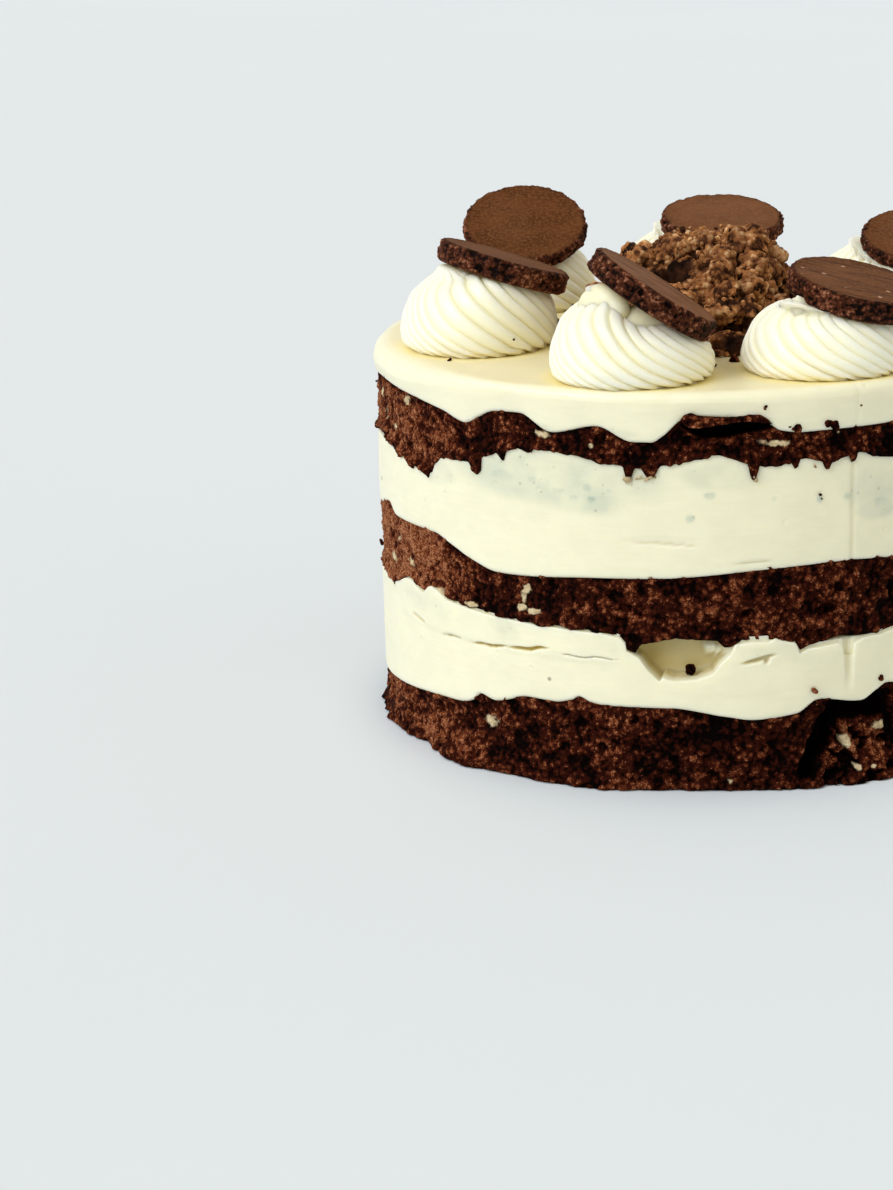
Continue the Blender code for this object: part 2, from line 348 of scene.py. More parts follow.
def kept(tree, attribute):
    """A number that the mesh holds for each of its points."""
    return node(tree, "Attribute", {"attribute_name": attribute}).outputs["Fac"]


# %% Shared groups, finishes and bumps
def group(name, inputs, outputs):
    """A new node group. Inputs and outputs are {socket name: type}. Returns the group, its input
    sockets by name, and its output node."""
    made = bpy.data.node_groups.new(name, "ShaderNodeTree")
    for names, way in ((inputs, "INPUT"), (outputs, "OUTPUT")):
        for socket, kind in names.items():
            made.interface.new_socket(socket, in_out=way, socket_type="NodeSocket" + kind)
    return made, made.nodes.new("NodeGroupInput").outputs, made.nodes.new("NodeGroupOutput")


def grouped(tree, shared, **sockets):
    """Places a shared group with these values, and returns its outputs."""
    return node(tree, "Group", {"node_tree": shared}, **sockets).outputs


def new_finish(name, **sockets):
    """A material with a Principled shader. Returns it with its tree and shader."""
    made = bpy.data.materials.new(name)
    made.use_nodes = True
    shader = made.node_tree.nodes["Principled BSDF"]
    for key, value in sockets.items():
        fill(made.node_tree, shader.inputs[key.replace("_", " ")], value)
    return made, made.node_tree, shader


def raised(tree, shader, height, distance):
    """Feeds a height from 0 to 1 into the shader as a bump this many metres high."""
    bump = node(tree, "Bump", Height=height, Strength=1.0, Distance=distance)
    fill(tree, shader.inputs["Normal"], bump.outputs["Normal"])


helpers = (node, fill, mixed, worked, stepped, place, noise, kept, group, grouped, raised)
print("helpers for nodes:", ", ".join(helper.__name__ for helper in helpers))

# %% [markdown]
# ## Three shared patterns
# - Patches: two colours in soft clouds, because nothing baked or stirred is one flat colour.
# - Specks: small dots, each in its own cell, so they never run together. A cell has a dot only
#   if its random number is low enough.
# - Crumb: the look of torn sponge, with its light and shade painted in. Hollows are painted
#   nearly black as shade, because light is lost in them; crests are lighter, partly their own
#   colour and partly painted light where they catch it; sparse glints are painted highlights.
#   The depth of a point comes from the mesh, and fine grain is added here.

# %% Patches, specks and crumb
PATCHES, given, result = group(
    "patches", {"Color": "Color", "Other": "Color", "Size": "Float", "Amount": "Float"},
    {"Color": "Color"})
cloud = stepped(PATCHES, noise(PATCHES, given["Size"], 3.0), 0.35, 0.65)
share = worked(PATCHES, "MULTIPLY", cloud, given["Amount"])
fill(PATCHES, result.inputs["Color"], mixed(PATCHES, share, given["Color"], given["Other"]))

SPECKS, given, result = group(
    "specks", {"Color": "Color", "Speck": "Color", "Size": "Float", "Share": "Float"},
    {"Color": "Color", "Mask": "Float"})
scale = worked(SPECKS, "DIVIDE", 1.0, given["Size"])
cells = node(SPECKS, "TexVoronoi", Vector=place(SPECKS), Scale=scale)
dot = stepped(SPECKS, cells.outputs["Distance"], 0.30, 0.16)
lot = node(SPECKS, "SeparateColor", Color=cells.outputs["Color"]).outputs[0]
chosen = worked(SPECKS, "LESS_THAN", lot, given["Share"])
mask = worked(SPECKS, "MULTIPLY", dot, chosen)
fill(SPECKS, result.inputs["Mask"], mask)
fill(SPECKS, result.inputs["Color"], mixed(SPECKS, mask, given["Color"], given["Speck"]))

CRUMB, given, result = group(
    "crumb", {"Hollow": "Color", "Body": "Color", "Crest": "Color", "Glint": "Color",
              "Relief": "Float", "Grain": "Float", "Zones": "Float"},
    {"Color": "Color", "Height": "Float"})
grain = noise(CRUMB, given["Grain"], 3.0)
finer = noise(CRUMB, worked(CRUMB, "MULTIPLY", given["Grain"], 0.4), 2.0)
height = worked(CRUMB, "MULTIPLY_ADD", grain, 0.65, worked(CRUMB, "MULTIPLY", finer, 0.35))
zone = worked(CRUMB, "SUBTRACT", noise(CRUMB, given["Zones"], 2.0), 0.5)
level = worked(CRUMB, "MULTIPLY_ADD", zone, 1.1, given["Relief"])
level = worked(CRUMB, "MULTIPLY_ADD", worked(CRUMB, "SUBTRACT", height, 0.5), 2.0, level)
# Painted shade and light: the hollow colour where a point lies deep, the crest colour where it
# stands high, and the glint colour, a painted highlight, on the highest specks.
body = mixed(CRUMB, stepped(CRUMB, level, 0.15, 0.60), given["Hollow"], given["Body"])
crest = mixed(CRUMB, stepped(CRUMB, level, 0.60, 1.10), body, given["Crest"])
lit = stepped(CRUMB, worked(CRUMB, "MULTIPLY_ADD", finer, 2.4, level), 2.25, 2.85)
fill(CRUMB, result.inputs["Color"], mixed(CRUMB, lit, crest, given["Glint"]))
fill(CRUMB, result.inputs["Height"], height)
print("shared patterns:", ", ".join(held.name for held in bpy.data.node_groups))

# %% [markdown]
# ## The floor
# The floor is one round sheet, level near the cake and curving up far away, so that no horizon
# shows behind it. Its finish is plain matt paint, very slightly cloudy.

# %% The floor
FLOOR, tree, shader = new_finish("matt_floor", Roughness=0.9)
fill(tree, shader.inputs["Base Color"], grouped(
    tree, PATCHES, Color=(0.733, 0.776, 0.812), Other=(0.726, 0.769, 0.805), Size=0.4,
    Amount=1.0)["Color"])
FLOOR_RADIUS, LEVEL_RADIUS = 6.0, 4.3  # metres; beyond the second it curves up as a parabola
rows, columns = 48, 96
turn = full_turn(columns)
out = np.linspace(0.01, FLOOR_RADIUS, rows)[:, None]
up = 1.7 * (np.maximum(out - LEVEL_RADIUS, 0.0) / 1.7) ** 2
sheet = np.stack([out * np.sin(turn), -out * np.cos(turn), up + 0 * turn], -1)
column = np.arange(columns)
fan = np.stack([column, (column + 1) % columns, np.full(columns, rows * columns)], -1)
floor = to_mesh("floor", np.concatenate([sheet.reshape(-1, 3), [[0.0, 0.0, 0.0]]]),
                [ring_faces(rows, columns)[:, ::-1], fan], FLOOR, {})
print(f"floor {2 * FLOOR_RADIUS:.0f} m across")

# %% [markdown]
# ## The lines between the layers
# A scraped cake shows where each layer ends as a wavy line. Each line is given by its crests
# and troughs, as azimuth and height, and a curve runs through them. An ordinary spline would
# swing past its points. This one takes the harmonic mean of the slopes on each side of a point,
# and is level at a crest, so it never overshoots and can still climb steeply.

# %% Lines round the cake, in degrees from the front and millimetres
COLUMNS = 1440
DEGREES = np.arange(COLUMNS) * 360.0 / COLUMNS - 180.0
TOP_CREAM_FOOT = [
    (-98, 78.5), (-72, 82.6), (-60, 82.1), (-48, 80.7), (-42, 78.9), (-38, 81.2), (-35, 82.6),
    (-30, 82.9), (-24, 79.4), (-16, 81.4), (-10, 78.3), (-7, 78.3), (-5, 79.8), (-2, 83.2),
    (1, 84.0), (7, 83.2), (12, 82.0), (14, 80.4), (18, 79.7), (30, 79.7), (50, 81.0), (80, 79.0),
    (120, 82.5), (160, 79.5), (200, 82.0), (235, 79.5),
]
UPPER_SPONGE_FOOT = [
    (-105, 66.5), (-83, 67.3), (-70, 67.2), (-63, 66.1), (-51, 64.9), (-49, 69.2), (-43, 70.4),
    (-38.5, 70.2), (-37, 72.4), (-31, 74.8), (-24, 75.2), (-15, 73.5), (-9, 72.5), (3, 75.4),
    (8, 73.6), (12, 72.5), (18, 73.8), (22, 72.6), (28, 74.0), (31, 72.5), (38, 71.3),
    (70, 68.5), (110, 73.5), (150, 69.5), (190, 67.5), (230, 71.5),
]
MIDDLE_CREAM_FOOT = [
    (-130, 52.0), (-98, 49.5), (-80, 50.8), (-70, 53.6), (-66, 51.5), (-51, 51.9), (-46, 50.2),
    (-41, 48.0), (-35, 46.4), (-16, 48.0), (-5, 48.5), (11, 50.1), (24, 50.6), (36, 49.6),
    (62, 47.5), (105, 52.0), (150, 48.0), (195, 46.5),
]
MIDDLE_SPONGE_FOOT = [
    (-105, 33.5), (-78, 34.9), (-68, 35.4), (-60, 38.5), (-55, 37.0), (-52, 39.2), (-47, 37.3),
    (-35, 36.4), (-15, 35.7), (-9, 33.4), (-4, 33.5), (1, 34.4), (13, 34.6), (20, 32.2),
    (30, 32.3), (36, 33.6), (60, 34.5), (95, 32.5), (140, 37.0), (185, 34.0), (220, 36.5),
]
LOWER_CREAM_FOOT = [
    (-118, 12.5), (-83, 9.5), (-67, 11.4), (-51, 13.5), (-44, 14.2), (-41.5, 15.3),
    (-39.5, 17.3), (-36.5, 16.5), (-29, 19.0), (-24, 18.9), (-21, 19.8), (-19.5, 20.8),
    (-18, 19.9), (-15, 19.3), (-4, 19.4), (5, 17.5), (10, 16.5), (17, 17.3), (21, 20.0),
    (29, 18.4), (32, 20.2), (34, 21.4), (38, 20.4), (75, 17.0), (115, 20.0), (160, 14.5),
    (210, 18.0),
]
# How far the foot of the cake lies from its axis.
FOOT_OUTLINE = [
    (-110, 75.0), (-70, 76.2), (-59, 75.6), (-55, 74.6), (-49, 77.0), (-42, 77.9), (-34, 75.9),
    (-20, 76.2), (0, 73.4), (12, 74.7), (19, 75.9), (30, 78.8), (75, 75.5), (120, 77.0),
    (165, 74.5), (215, 76.5),
]
print("crests and troughs:", len(TOP_CREAM_FOOT + UPPER_SPONGE_FOOT + MIDDLE_CREAM_FOOT
                                 + MIDDLE_SPONGE_FOOT + LOWER_CREAM_FOOT + FOOT_OUTLINE))


# %% A curve through the crests and troughs
def line(points, degrees=DEGREES):
    """The closed curve through these points, in metres, at each azimuth in degrees. Between two
    points it is the cubic that has the height and the slope set at each."""
    where, height = np.array(points, float).T
    height = np.tile(height, 3)
    where = np.concatenate([where - 360, where, where + 360])
    step = np.diff(where)
    slope = np.diff(height) / step
    level = slope[:-1] * slope[1:] <= 0
    mean = 2 * slope[:-1] * slope[1:] / np.where(level, 1.0, slope[:-1] + slope[1:])
    tilt = np.concatenate([[0.0], np.where(level, 0.0, mean), [0.0]])
    k = np.searchsorted(where, degrees, side="right") - 1
    s = (degrees - where[k]) / step[k]
    rise = height[k] * (1 + 2 * s) * (1 - s) ** 2 + height[k + 1] * s**2 * (3 - 2 * s)
    swing = step[k] * (tilt[k] * s * (1 - s) ** 2 - tilt[k + 1] * s**2 * (1 - s))
    return (rise + swing) * MM


def apart(degrees, azimuth):
    """Degrees from this azimuth, between -180 and 180."""
    return (degrees - azimuth + 180.0) % 360.0 - 180.0


def near(azimuth, outer, inner):
    """1 within inner degrees of this azimuth, and 0 beyond outer degrees."""
    return ease(np.abs(apart(DEGREES, azimuth)), outer, inner)


def torn(height, points):
    """The same line with a torn stretch put into it, straight from each point to the next."""
    where, torn_height = np.array(points, float).T
    inside = (DEGREES >= where[0]) & (DEGREES <= where[-1])
    return np.where(inside, np.interp(DEGREES, where, torn_height) * MM, height)


top_cream_foot, upper_sponge_foot = line(TOP_CREAM_FOOT), line(UPPER_SPONGE_FOOT)
middle_cream_foot, middle_sponge_foot = line(MIDDLE_CREAM_FOOT), line(MIDDLE_SPONGE_FOOT)
lower_cream_foot, foot_outline = line(LOWER_CREAM_FOOT), line(FOOT_OUTLINE)
print(f"thinnest upper sponge {(top_cream_foot - upper_sponge_foot).min() / MM:.1f} mm")

# %% [markdown]
# ## A layer's skin
# A layer is swept round the axis from an outline that changes with the azimuth. The outline is
# a list of stations, each a radius and a height for every azimuth, with evenly spaced rows of
# points between one station and the next. The last step moves each point in or out by its
# relief: that is where scraped cream and torn sponge differ.

# %% Rows of points from an outline
TURN = np.radians(DEGREES)


def wall_points(radius, height, turn=TURN):
    """Points at these radii, heights and azimuths: (r sin t, -r cos t, h)."""
    return np.stack([radius * np.sin(turn), -radius * np.cos(turn), height + 0 * radius], -1)


def between(stations, steps):
    """Evenly spaced rows: steps[k] of them from station k up to station k + 1."""
    share = np.concatenate([k + np.arange(n) / n for k, n in enumerate(steps)] + [[len(steps)]])
    below = np.minimum(share.astype(int), len(steps) - 1)
    return stations[below] + (share - below)[:, None] * (stations[below + 1] - stations[below])


def rows_between(stations, steps):
    """Radii and heights of all rows of a layer, for every azimuth."""
    return [between(np.array([np.broadcast_to(station[k], DEGREES.shape) for station in stations]),
                    steps) for k in (0, 1)]


# %% Rounded corners and oval patches
def rounded(radius, height, size, upwards):
    """Four stations round an outer corner: a quarter circle of this size, below the wall where
    upwards is False and above it where it is True."""
    turns = np.radians([0, 30, 60, 90])
    if upwards:
        return [(radius - size * (1 - np.cos(t)), height - size * (1 - np.sin(t)))
                for t in turns]
    return [(radius - size * (1 - np.sin(t)), height + size * (1 - np.cos(t))) for t in turns]


def oval(height, azimuth, middle, half_degrees, half_height, slant=0.0):
    """1 in the middle of an oval patch on the side, and 0 outside it. Height is in metres, and
    the rest in degrees and millimetres. Slant lifts its right end by so much for each degree."""
    across = apart(DEGREES, azimuth)
    up = height - middle * MM - slant * MM * across
    return ease(np.hypot(across / half_degrees, up / (half_height * MM)), 1.25, 0.6)


test_patch = oval(np.linspace(0, 20, 41)[:, None] * MM, 0, 10, 5, 5)
print(f"an oval patch covers {test_patch.mean():.1%} of a band 20 mm high")

# %% [markdown]
# ## Torn sponge
# Chocolate sponge is mostly bubbles. Where a knife or a tin tore it, grains about 1 mm wide
# stand in clumps about 3 mm wide, with dark pores between them. Cell noise at those two sizes
# gives both, and soft noise adds the broad swelling. The same numbers, kept as an attribute,
# tell the material which points lie deep: they are painted nearly black as shade, and the
# crests tan, partly their own colour and partly painted light.

# %% Relief of the sponge
def sponge_relief(points, seed=0):
    """(how far each point stands out, in metres, and how high it looks, about 0 to 1)."""
    broad = layered_noise(points, 9 * MM, 11 + seed)
    clump, lot = cell_noise(points, 3.1 * MM, 21 + seed)
    bead, bead_lot = cell_noise(points, 1.3 * MM, 41 + seed)
    fine = soft_noise(points, 0.8 * MM, 61 + seed)
    pore = ease(lot, 0.34, 0.24) * ease(clump, 0.62, 0.25)
    out = 0.35 * broad + 0.85 * (0.55 - clump) + 0.65 * (0.55 - bead) + 0.15 * fine - 1.0 * pore
    look = 0.5 + 0.25 * broad + 0.50 * (0.55 - clump) + 0.85 * (0.55 - bead) - 0.5 * pore
    return out * MM, look + 0.25 * (bead_lot - 0.5)


SPONGE, tree, shader = new_finish("moist_sponge", Roughness=0.70, Specular_IOR_Level=0.02)
# The hollow colour is painted shade, the crest colour partly painted light, and the glint colour a
# painted highlight.
crumb = grouped(tree, CRUMB, Hollow=(0.0020, 0.0006, 0.0004), Body=(0.030, 0.0048, 0.0020),
                Crest=(0.158, 0.038, 0.013), Glint=(0.40, 0.17, 0.080),
                Relief=kept(tree, "relief"), Grain=0.95 * MM, Zones=7 * MM)
milk = mixed(tree, noise(tree, 1.5 * MM, 2.0), (0.40, 0.24, 0.10), (0.88, 0.77, 0.50))
grainy = worked(tree, "MULTIPLY_ADD", crumb["Height"], 0.8, kept(tree, "pale"))
milky = mixed(tree, stepped(tree, grainy, 0.62, 1.12), crumb["Color"], milk)
fill(tree, shader.inputs["Base Color"], milky)
raised(tree, shader, crumb["Height"], 0.9 * MM)
out, look = sponge_relief(sample)
print(f"sponge relief from {out.min() / MM:.1f} to {out.max() / MM:.1f} mm, finish {SPONGE.name}")

# %% [markdown]
# ## Scraped cream
# White chocolate cream is smooth and lets light into itself, so its shadows glow a warm yellow:
# that is subsurface scattering, with red light travelling farthest. Where cream faces cream the
# glow adds up; that glow is painted in, and the mesh holds how much warm painted light each point
# gets. A scraper leaves faint level streaks. Where the cream is thin the dark sponge behind shows
# as a cool grey green, and a few crumbs are dragged through it. Slits, folds and grooves are
# painted darker as shade, because light is lost there, and so, a little, is the flat top; the mesh
# holds how much painted shade each point gets.

# %% Finish of the cream
def cream_finish(name, colour, deep, streaks, speck_share, reach):
    """A cream. Deep is the colour painted as shade in folds, streaks the height of the scraper's
    marks in metres, speck share how many of the places for a speck are taken, and reach how far
    light gets."""
    made, tree, shader = new_finish(
        name, Roughness=0.42, Subsurface_Weight=0.75, Subsurface_Radius=(1.0, 0.94, 0.70),
        Subsurface_Scale=reach)
    clouds = grouped(tree, PATCHES, Color=colour, Other=[0.965 * part for part in colour],
                     Size=7 * MM, Amount=0.8)
    specks = grouped(tree, SPECKS, Color=clouds["Color"], Speck=(0.16, 0.10, 0.05),
                     Size=3.2 * MM, Share=speck_share)
    dotted = grouped(tree, SPECKS, Color=(0.50, 0.56, 0.45), Speck=(0.15, 0.16, 0.12),
                     Size=1.5 * MM, Share=0.22)
    thinned = mixed(tree, kept(tree, "thin"), specks["Color"], dotted["Color"])
    # Painted shade mixes in the deep colour, and painted light, a warm glow as if bounced from cream
    # to cream, mixes in warm yellow; the mesh holds how much of each.
    shade_painted = mixed(tree, kept(tree, "painted_shade"), thinned, deep)
    glow_painted = mixed(tree, kept(tree, "painted_glow"), shade_painted, (1.0, 0.82, 0.36))
    fill(tree, shader.inputs["Base Color"], glow_painted)
    flat = node(tree, "Mapping", Vector=place(tree), Scale=(1.0, 1.0, 9.0))
    marks = noise(tree, 9 * MM, 3.0, flat.outputs["Vector"])
    lumps = noise(tree, 1.6 * MM, 2.0)
    height = worked(tree, "MULTIPLY_ADD", marks, 0.75, worked(tree, "MULTIPLY", lumps, 0.25))
    pits = grouped(tree, SPECKS, Size=2.4 * MM, Share=0.03)
    raised(tree, shader, worked(tree, "SUBTRACT", height, pits["Mask"]), streaks)
    return made


CREAM = cream_finish("scraped_cream", (0.890, 0.850, 0.630), (0.58, 0.43, 0.090), 0.10 * MM,
                     0.012, 2.2 * MM)
PIPED = cream_finish("piped_cream", (0.965, 0.925, 0.745), (0.97, 0.77, 0.27), 0.05 * MM,
                     0.001, 3.4 * MM)
print("cream finishes:", CREAM.name, "and", PIPED.name)

# %% [markdown]
# ## The sponges
# Where crumb hangs over the cream below, the sponge's edge stands a little proud and ends in
# drips. Where cream was pressed over it, the sponge lies behind. The upper one also has a flake
# with a crack beneath it, and the lower one a hole with a torn chunk inside; the crack and the
# hole are painted near black as shade.

# %% Drips and pale bits
WALL = SIDE_RADIUS - 0.35 * MM
# Where noise that changes with the azimuth alone is read.
WALL_RING = np.stack([np.sin(TURN), np.cos(TURN), 0 * TURN], -1) * SIDE_RADIUS


def hanging(drips, seed):
    """How far crumb hangs below a sponge's line at each azimuth: the drips listed, and smaller
    ones from noise all round."""
    length = np.zeros(COLUMNS)
    for azimuth, long, half in drips:
        shape = ease(np.abs(apart(DEGREES, azimuth)) / half, 1.3, 0.3)
        length = np.maximum(length, long * MM * shape)
    teeth = (soft_noise(WALL_RING, 2.4 * MM, seed)
             + 0.6 * soft_noise(WALL_RING, 1.0 * MM, seed + 1))
    return length + np.maximum(teeth, -0.2) * 0.55 * MM


def pale_spots(radius, height, spots, seed):
    """Bits of white chocolate and unmixed flour: (azimuth, height, half width, half height,
    strength), with ragged edges."""
    points = wall_points(radius, height)
    ragged = 0.6 * layered_noise(points, 1.7 * MM, seed) + 0.3 * soft_noise(points, 0.6 * MM, seed)
    pale = np.zeros(radius.shape)
    for azimuth, middle, half_width, half_height, strength in spots:
        across = np.radians(apart(DEGREES, azimuth)) * SIDE_RADIUS / (half_width * MM)
        away = np.hypot(across, (height - middle * MM) / (half_height * MM))
        pale = np.maximum(pale, strength * ease(away + ragged, 1.35, 0.10))
    return pale


# %% Shape of a sponge layer
def make_sponge(name, stations, steps, carved, spots, painted_light_and_tone, seed):
    """A sponge layer. Carved gives, for radii and heights, how far the wall is cut back. The
    fourth station is the lowest edge: just above it the relief is held small, so no cream shows
    through. The zones list broad patches of paler or darker crumb: azimuth, height, half width in
    degrees, half height in millimetres, and how much paler. On the left, which faces the light,
    they are partly paler crumb and partly painted light; with a negative amount, on the right,
    away from the light, they are painted shade; the rest make the crumb paler where they lie."""
    radius, height = rows_between(stations, steps)
    cut = carved(radius, height)
    radius = radius - cut
    out, look = sponge_relief(wall_points(radius, height), seed)
    edge_part = ease(height, stations[3][1] + 1.6 * MM, stations[3][1] + 0.6 * MM)
    out = out + edge_part * (np.clip(out, -0.25 * MM, 0.30 * MM) - out)
    pale = pale_spots(radius, height, spots, seed + 5)
    # Painted shade: where the wall is cut back by more than about 1 mm, in the crack, the hole and
    # the pits, the crumb is painted darker; where it stands proud, as the flake does, a little
    # lighter.
    look = look - 0.9 * ease(cut, 0.9 * MM, 3.0 * MM) + 0.15 * ease(cut, -0.5 * MM, -1.2 * MM)
    # Broad zones: on the left partly paler crumb and partly painted light, on the right painted
    # shade.
    for azimuth, middle, half, tall, paler in painted_light_and_tone:
        look = look + paler * oval(height, azimuth, middle, half, tall)
    rings = wall_points(radius + out, height)
    finish_piece(skin(name, rings, SPONGE, {"relief": look, "pale": pale}), "sponge", name)


# %% Torn edges of the upper sponge
# Each drip: azimuth, length in millimetres, half width in degrees.
UPPER_DRIPS = [
    (-10.6, 2.6, 0.8), (-7.0, 2.2, 1.3), (9.5, 3.2, 0.8), (16.5, 1.6, 0.6), (21.7, 1.3, 0.6),
    (26.5, 1.8, 0.7), (62, 2.5, 1.0), (88, 1.8, 1.2), (135, 2.8, 1.0), (172, 2.0, 1.4),
    (-162, 2.6, 1.0), (-128, 2.0, 1.2), (-104, 2.6, 0.9),
]
# The torn stretch of its lower edge, on the left.
UPPER_TEETH = [
    (-83.0, 68.0), (-76, 69.6), (-71.5, 69.3), (-68, 67.6), (-65.8, 68.2), (-62.3, 66.2),
    (-60.7, 67.5), (-57.2, 65.0), (-56, 66.2), (-54.7, 65.9), (-51.6, 64.0), (-51.0, 67.2),
    (-49.1, 68.3), (-47.6, 69.8), (-45.2, 69.7), (-40.8, 70.0), (-39.8, 68.2), (-38.9, 67.4),
    (-38.0, 68.6), (-37.8, 71.8), (-34.5, 73.3), (-33.1, 71.4), (-32.5, 74.0), (-30.2, 74.9),
    (-27.5, 74.5),
]
# The flake's upper and lower edge, and the lower edge of the crack beneath it.
FLAKE_TOP = [(-2.1, 83.6), (-1.6, 84.6), (-0.8, 85.2), (0.4, 84.5), (2.5, 83.9), (4.4, 83.8),
             (6.7, 84.1), (8.8, 84.4), (10.6, 84.2), (11.8, 83.2), (12.6, 81.9)]
FLAKE_FOOT = [(-2.1, 82.6), (-0.7, 81.5), (1.7, 81.6), (4.1, 82.2), (7.2, 82.7), (10.4, 82.5),
              (12.6, 81.8)]
CRACK_FOOT = [(-2.1, 82.0), (-0.7, 80.6), (0.9, 79.3), (4.1, 79.1), (6.8, 79.7), (9.3, 80.2),
              (11.6, 80.7), (12.6, 81.5)]
FAR_ABOVE = 999 * MM  # the height of these edges where there is no flake
nowhere = np.full(COLUMNS, FAR_ABOVE)
flake_top, flake_foot, crack_foot = (
    torn(nowhere, points) for points in (FLAKE_TOP, FLAKE_FOOT, CRACK_FOOT))
print(f"the flake is up to {(flake_top - flake_foot).max() / MM:.1f} mm high")


# %% Upper sponge
def flake_crack(radius, height):
    """A crack 3 mm deep under a flake that stands proud as a log does: by (1 - u^4)^0.5, where u
    runs from -1 at its foot to 1 at its top."""
    u = (2 * height - flake_foot - flake_top) / (flake_top - flake_foot + 1e-9)
    lumps = 1 + 0.35 * soft_noise(wall_points(radius, height), 2.2 * MM, 77)
    flake = np.sqrt(np.clip(1 - u**4, 0.0, 1.0)) * lumps
    crack = ease(height, crack_foot - 0.2 * MM, crack_foot + 0.2 * MM) * (
        ease(height, flake_foot + 0.1 * MM, flake_foot - 0.1 * MM))
    return (3.2 * crack - 1.7 * flake) * MM


edge = torn(upper_sponge_foot, UPPER_TEETH) - hanging(UPPER_DRIPS, 71)
upper_edge = top_cream_foot + 0.7 * MM
upper_edge = np.where(flake_top < FAR_ABOVE, np.maximum(upper_edge, flake_top + 0.1 * MM),
                      upper_edge)
over = SIDE_RADIUS + 0.75 * MM
make_sponge("sponge_top", [
    (SIDE_RADIUS - 6 * MM, upper_sponge_foot + 1.5 * MM),
    (over - 1.0 * MM, edge),
    (over, edge + 0.4 * MM),
    (over, np.maximum(edge, upper_sponge_foot) + 0.9 * MM),
    (WALL, np.maximum(edge, upper_sponge_foot) + 2.4 * MM),
    (WALL, upper_edge),
    (WALL - 2.5 * MM, upper_edge + 0.5 * MM),
], [2, 2, 7, 5, 38, 3], flake_crack, [
    (-60, 80.2, 1.6, 1.6, 0.8), (-71, 74.8, 2.2, 1.4, 0.6), (-26, 78.9, 2.6, 0.9, 0.7),
    (13.6, 77.7, 2.9, 0.9, 1.0), (11.0, 78.3, 1.6, 1.2, 0.45), (-17, 77.2, 0.7, 0.7, 0.6),
    (-75.0, 78.5, 2.2, 1.3, 0.9), (-66.0, 72.6, 1.4, 0.9, 0.7), (-80.0, 72.0, 1.8, 1.2, 0.8),
    (24, 79.0, 0.6, 0.5, 0.6), (-10.5, 70.6, 0.7, 0.6, 0.9), (-7.2, 70.7, 1.1, 0.7, 0.9),
    (-8.4, 71.6, 0.6, 0.5, 0.7), (9.5, 70.7, 0.6, 0.6, 0.8), (20.0, 72.6, 0.5, 0.5, 0.6),
    (105, 79, 2.0, 1.2, 0.8), (170, 74, 1.4, 1.2, 0.8), (-140, 75, 1.8, 1.0, 0.8),
], [(-66, 74, 24, 9, 0.42), (30, 77, 8, 5, -0.10)], 0)

# %% Middle sponge
# It hangs ragged over the cream on the left and at the back, and lies behind it in front.
ragged = np.maximum(ease(DEGREES, -12.0, -17.0), near(0, 60.0, 75.0))
over = SIDE_RADIUS + (0.40 * ragged - 0.45 * (1 - ragged)) * MM
# The torn stretch of its lower edge, in front.
MIDDLE_TEETH = [
    (-12.6, 35.0), (-11.6, 32.0), (-10.0, 31.4), (-9.1, 33.2), (-6.1, 34.2), (-3.2, 34.9),
    (0.5, 34.6), (3.8, 34.3), (5.0, 32.8), (6.2, 33.0), (7.8, 34.3), (12.3, 34.2), (16.9, 33.0),
    (17.7, 31.2), (19.3, 32.2), (22.8, 33.0), (25.0, 33.6), (28.3, 33.0), (31.8, 32.8),
]
middle_edge = torn(middle_sponge_foot, MIDDLE_TEETH)
edge = middle_edge - hanging([(-68, 1.5, 0.8), (-58, 1.0, 0.7)], 72) * ragged


def carved_pits(_, height):
    """A few larger hollows where a lump of crumb fell out."""
    pits = (oval(height, -11.4, 41.5, 1.2, 1.2) + oval(height, 9.1, 40.5, 1.4, 1.0)
            + oval(height, 22.7, 40.2, 1.8, 1.3) + oval(height, 130, 42, 1.6, 1.4))
    return 1.8 * pits * MM


make_sponge("sponge_middle", [
    (SIDE_RADIUS - 7 * MM, middle_sponge_foot + 1.5 * MM),
    (over - 1.0 * MM, edge),
    (over, edge + 0.5 * MM),
    (over, middle_edge + 0.9 * MM),
    (WALL, middle_edge + 2.5 * MM),
    (WALL, middle_cream_foot + 0.7 * MM),
    (WALL - 2.5 * MM, middle_cream_foot + 1.2 * MM),
], [2, 2, 3, 5, 38, 3], carved_pits, [
    (-29.3, 43.9, 1.5, 1.3, 0.9), (-29.8, 41.6, 0.9, 1.6, 0.6), (-30.6, 39.4, 1.8, 0.9, 1.0),
    (-27.6, 39.0, 2.2, 0.8, 0.9), (-49.4, 38.8, 2.4, 0.9, 0.8), (-60.0, 42.5, 1.8, 1.2, 0.7),
    (-70.0, 40.6, 2.4, 1.6, 0.8), (-66.0, 46.4, 1.4, 1.0, 0.6), (-41.4, 37.8, 2.2, 0.6, 0.9),
    (100, 42, 2.0, 1.3, 0.8), (-160, 40, 1.6, 1.6, 0.8), (150, 38, 1.5, 0.9, 0.8),
], [(-68, 43, 26, 12, 0.62), (19.5, 38, 2.4, 1.4, 0.40), (6, 40, 8, 3, 0.22),
    (10, 36.5, 3, 1.5, 0.20), (30, 42, 8, 6, -0.08)], 100)

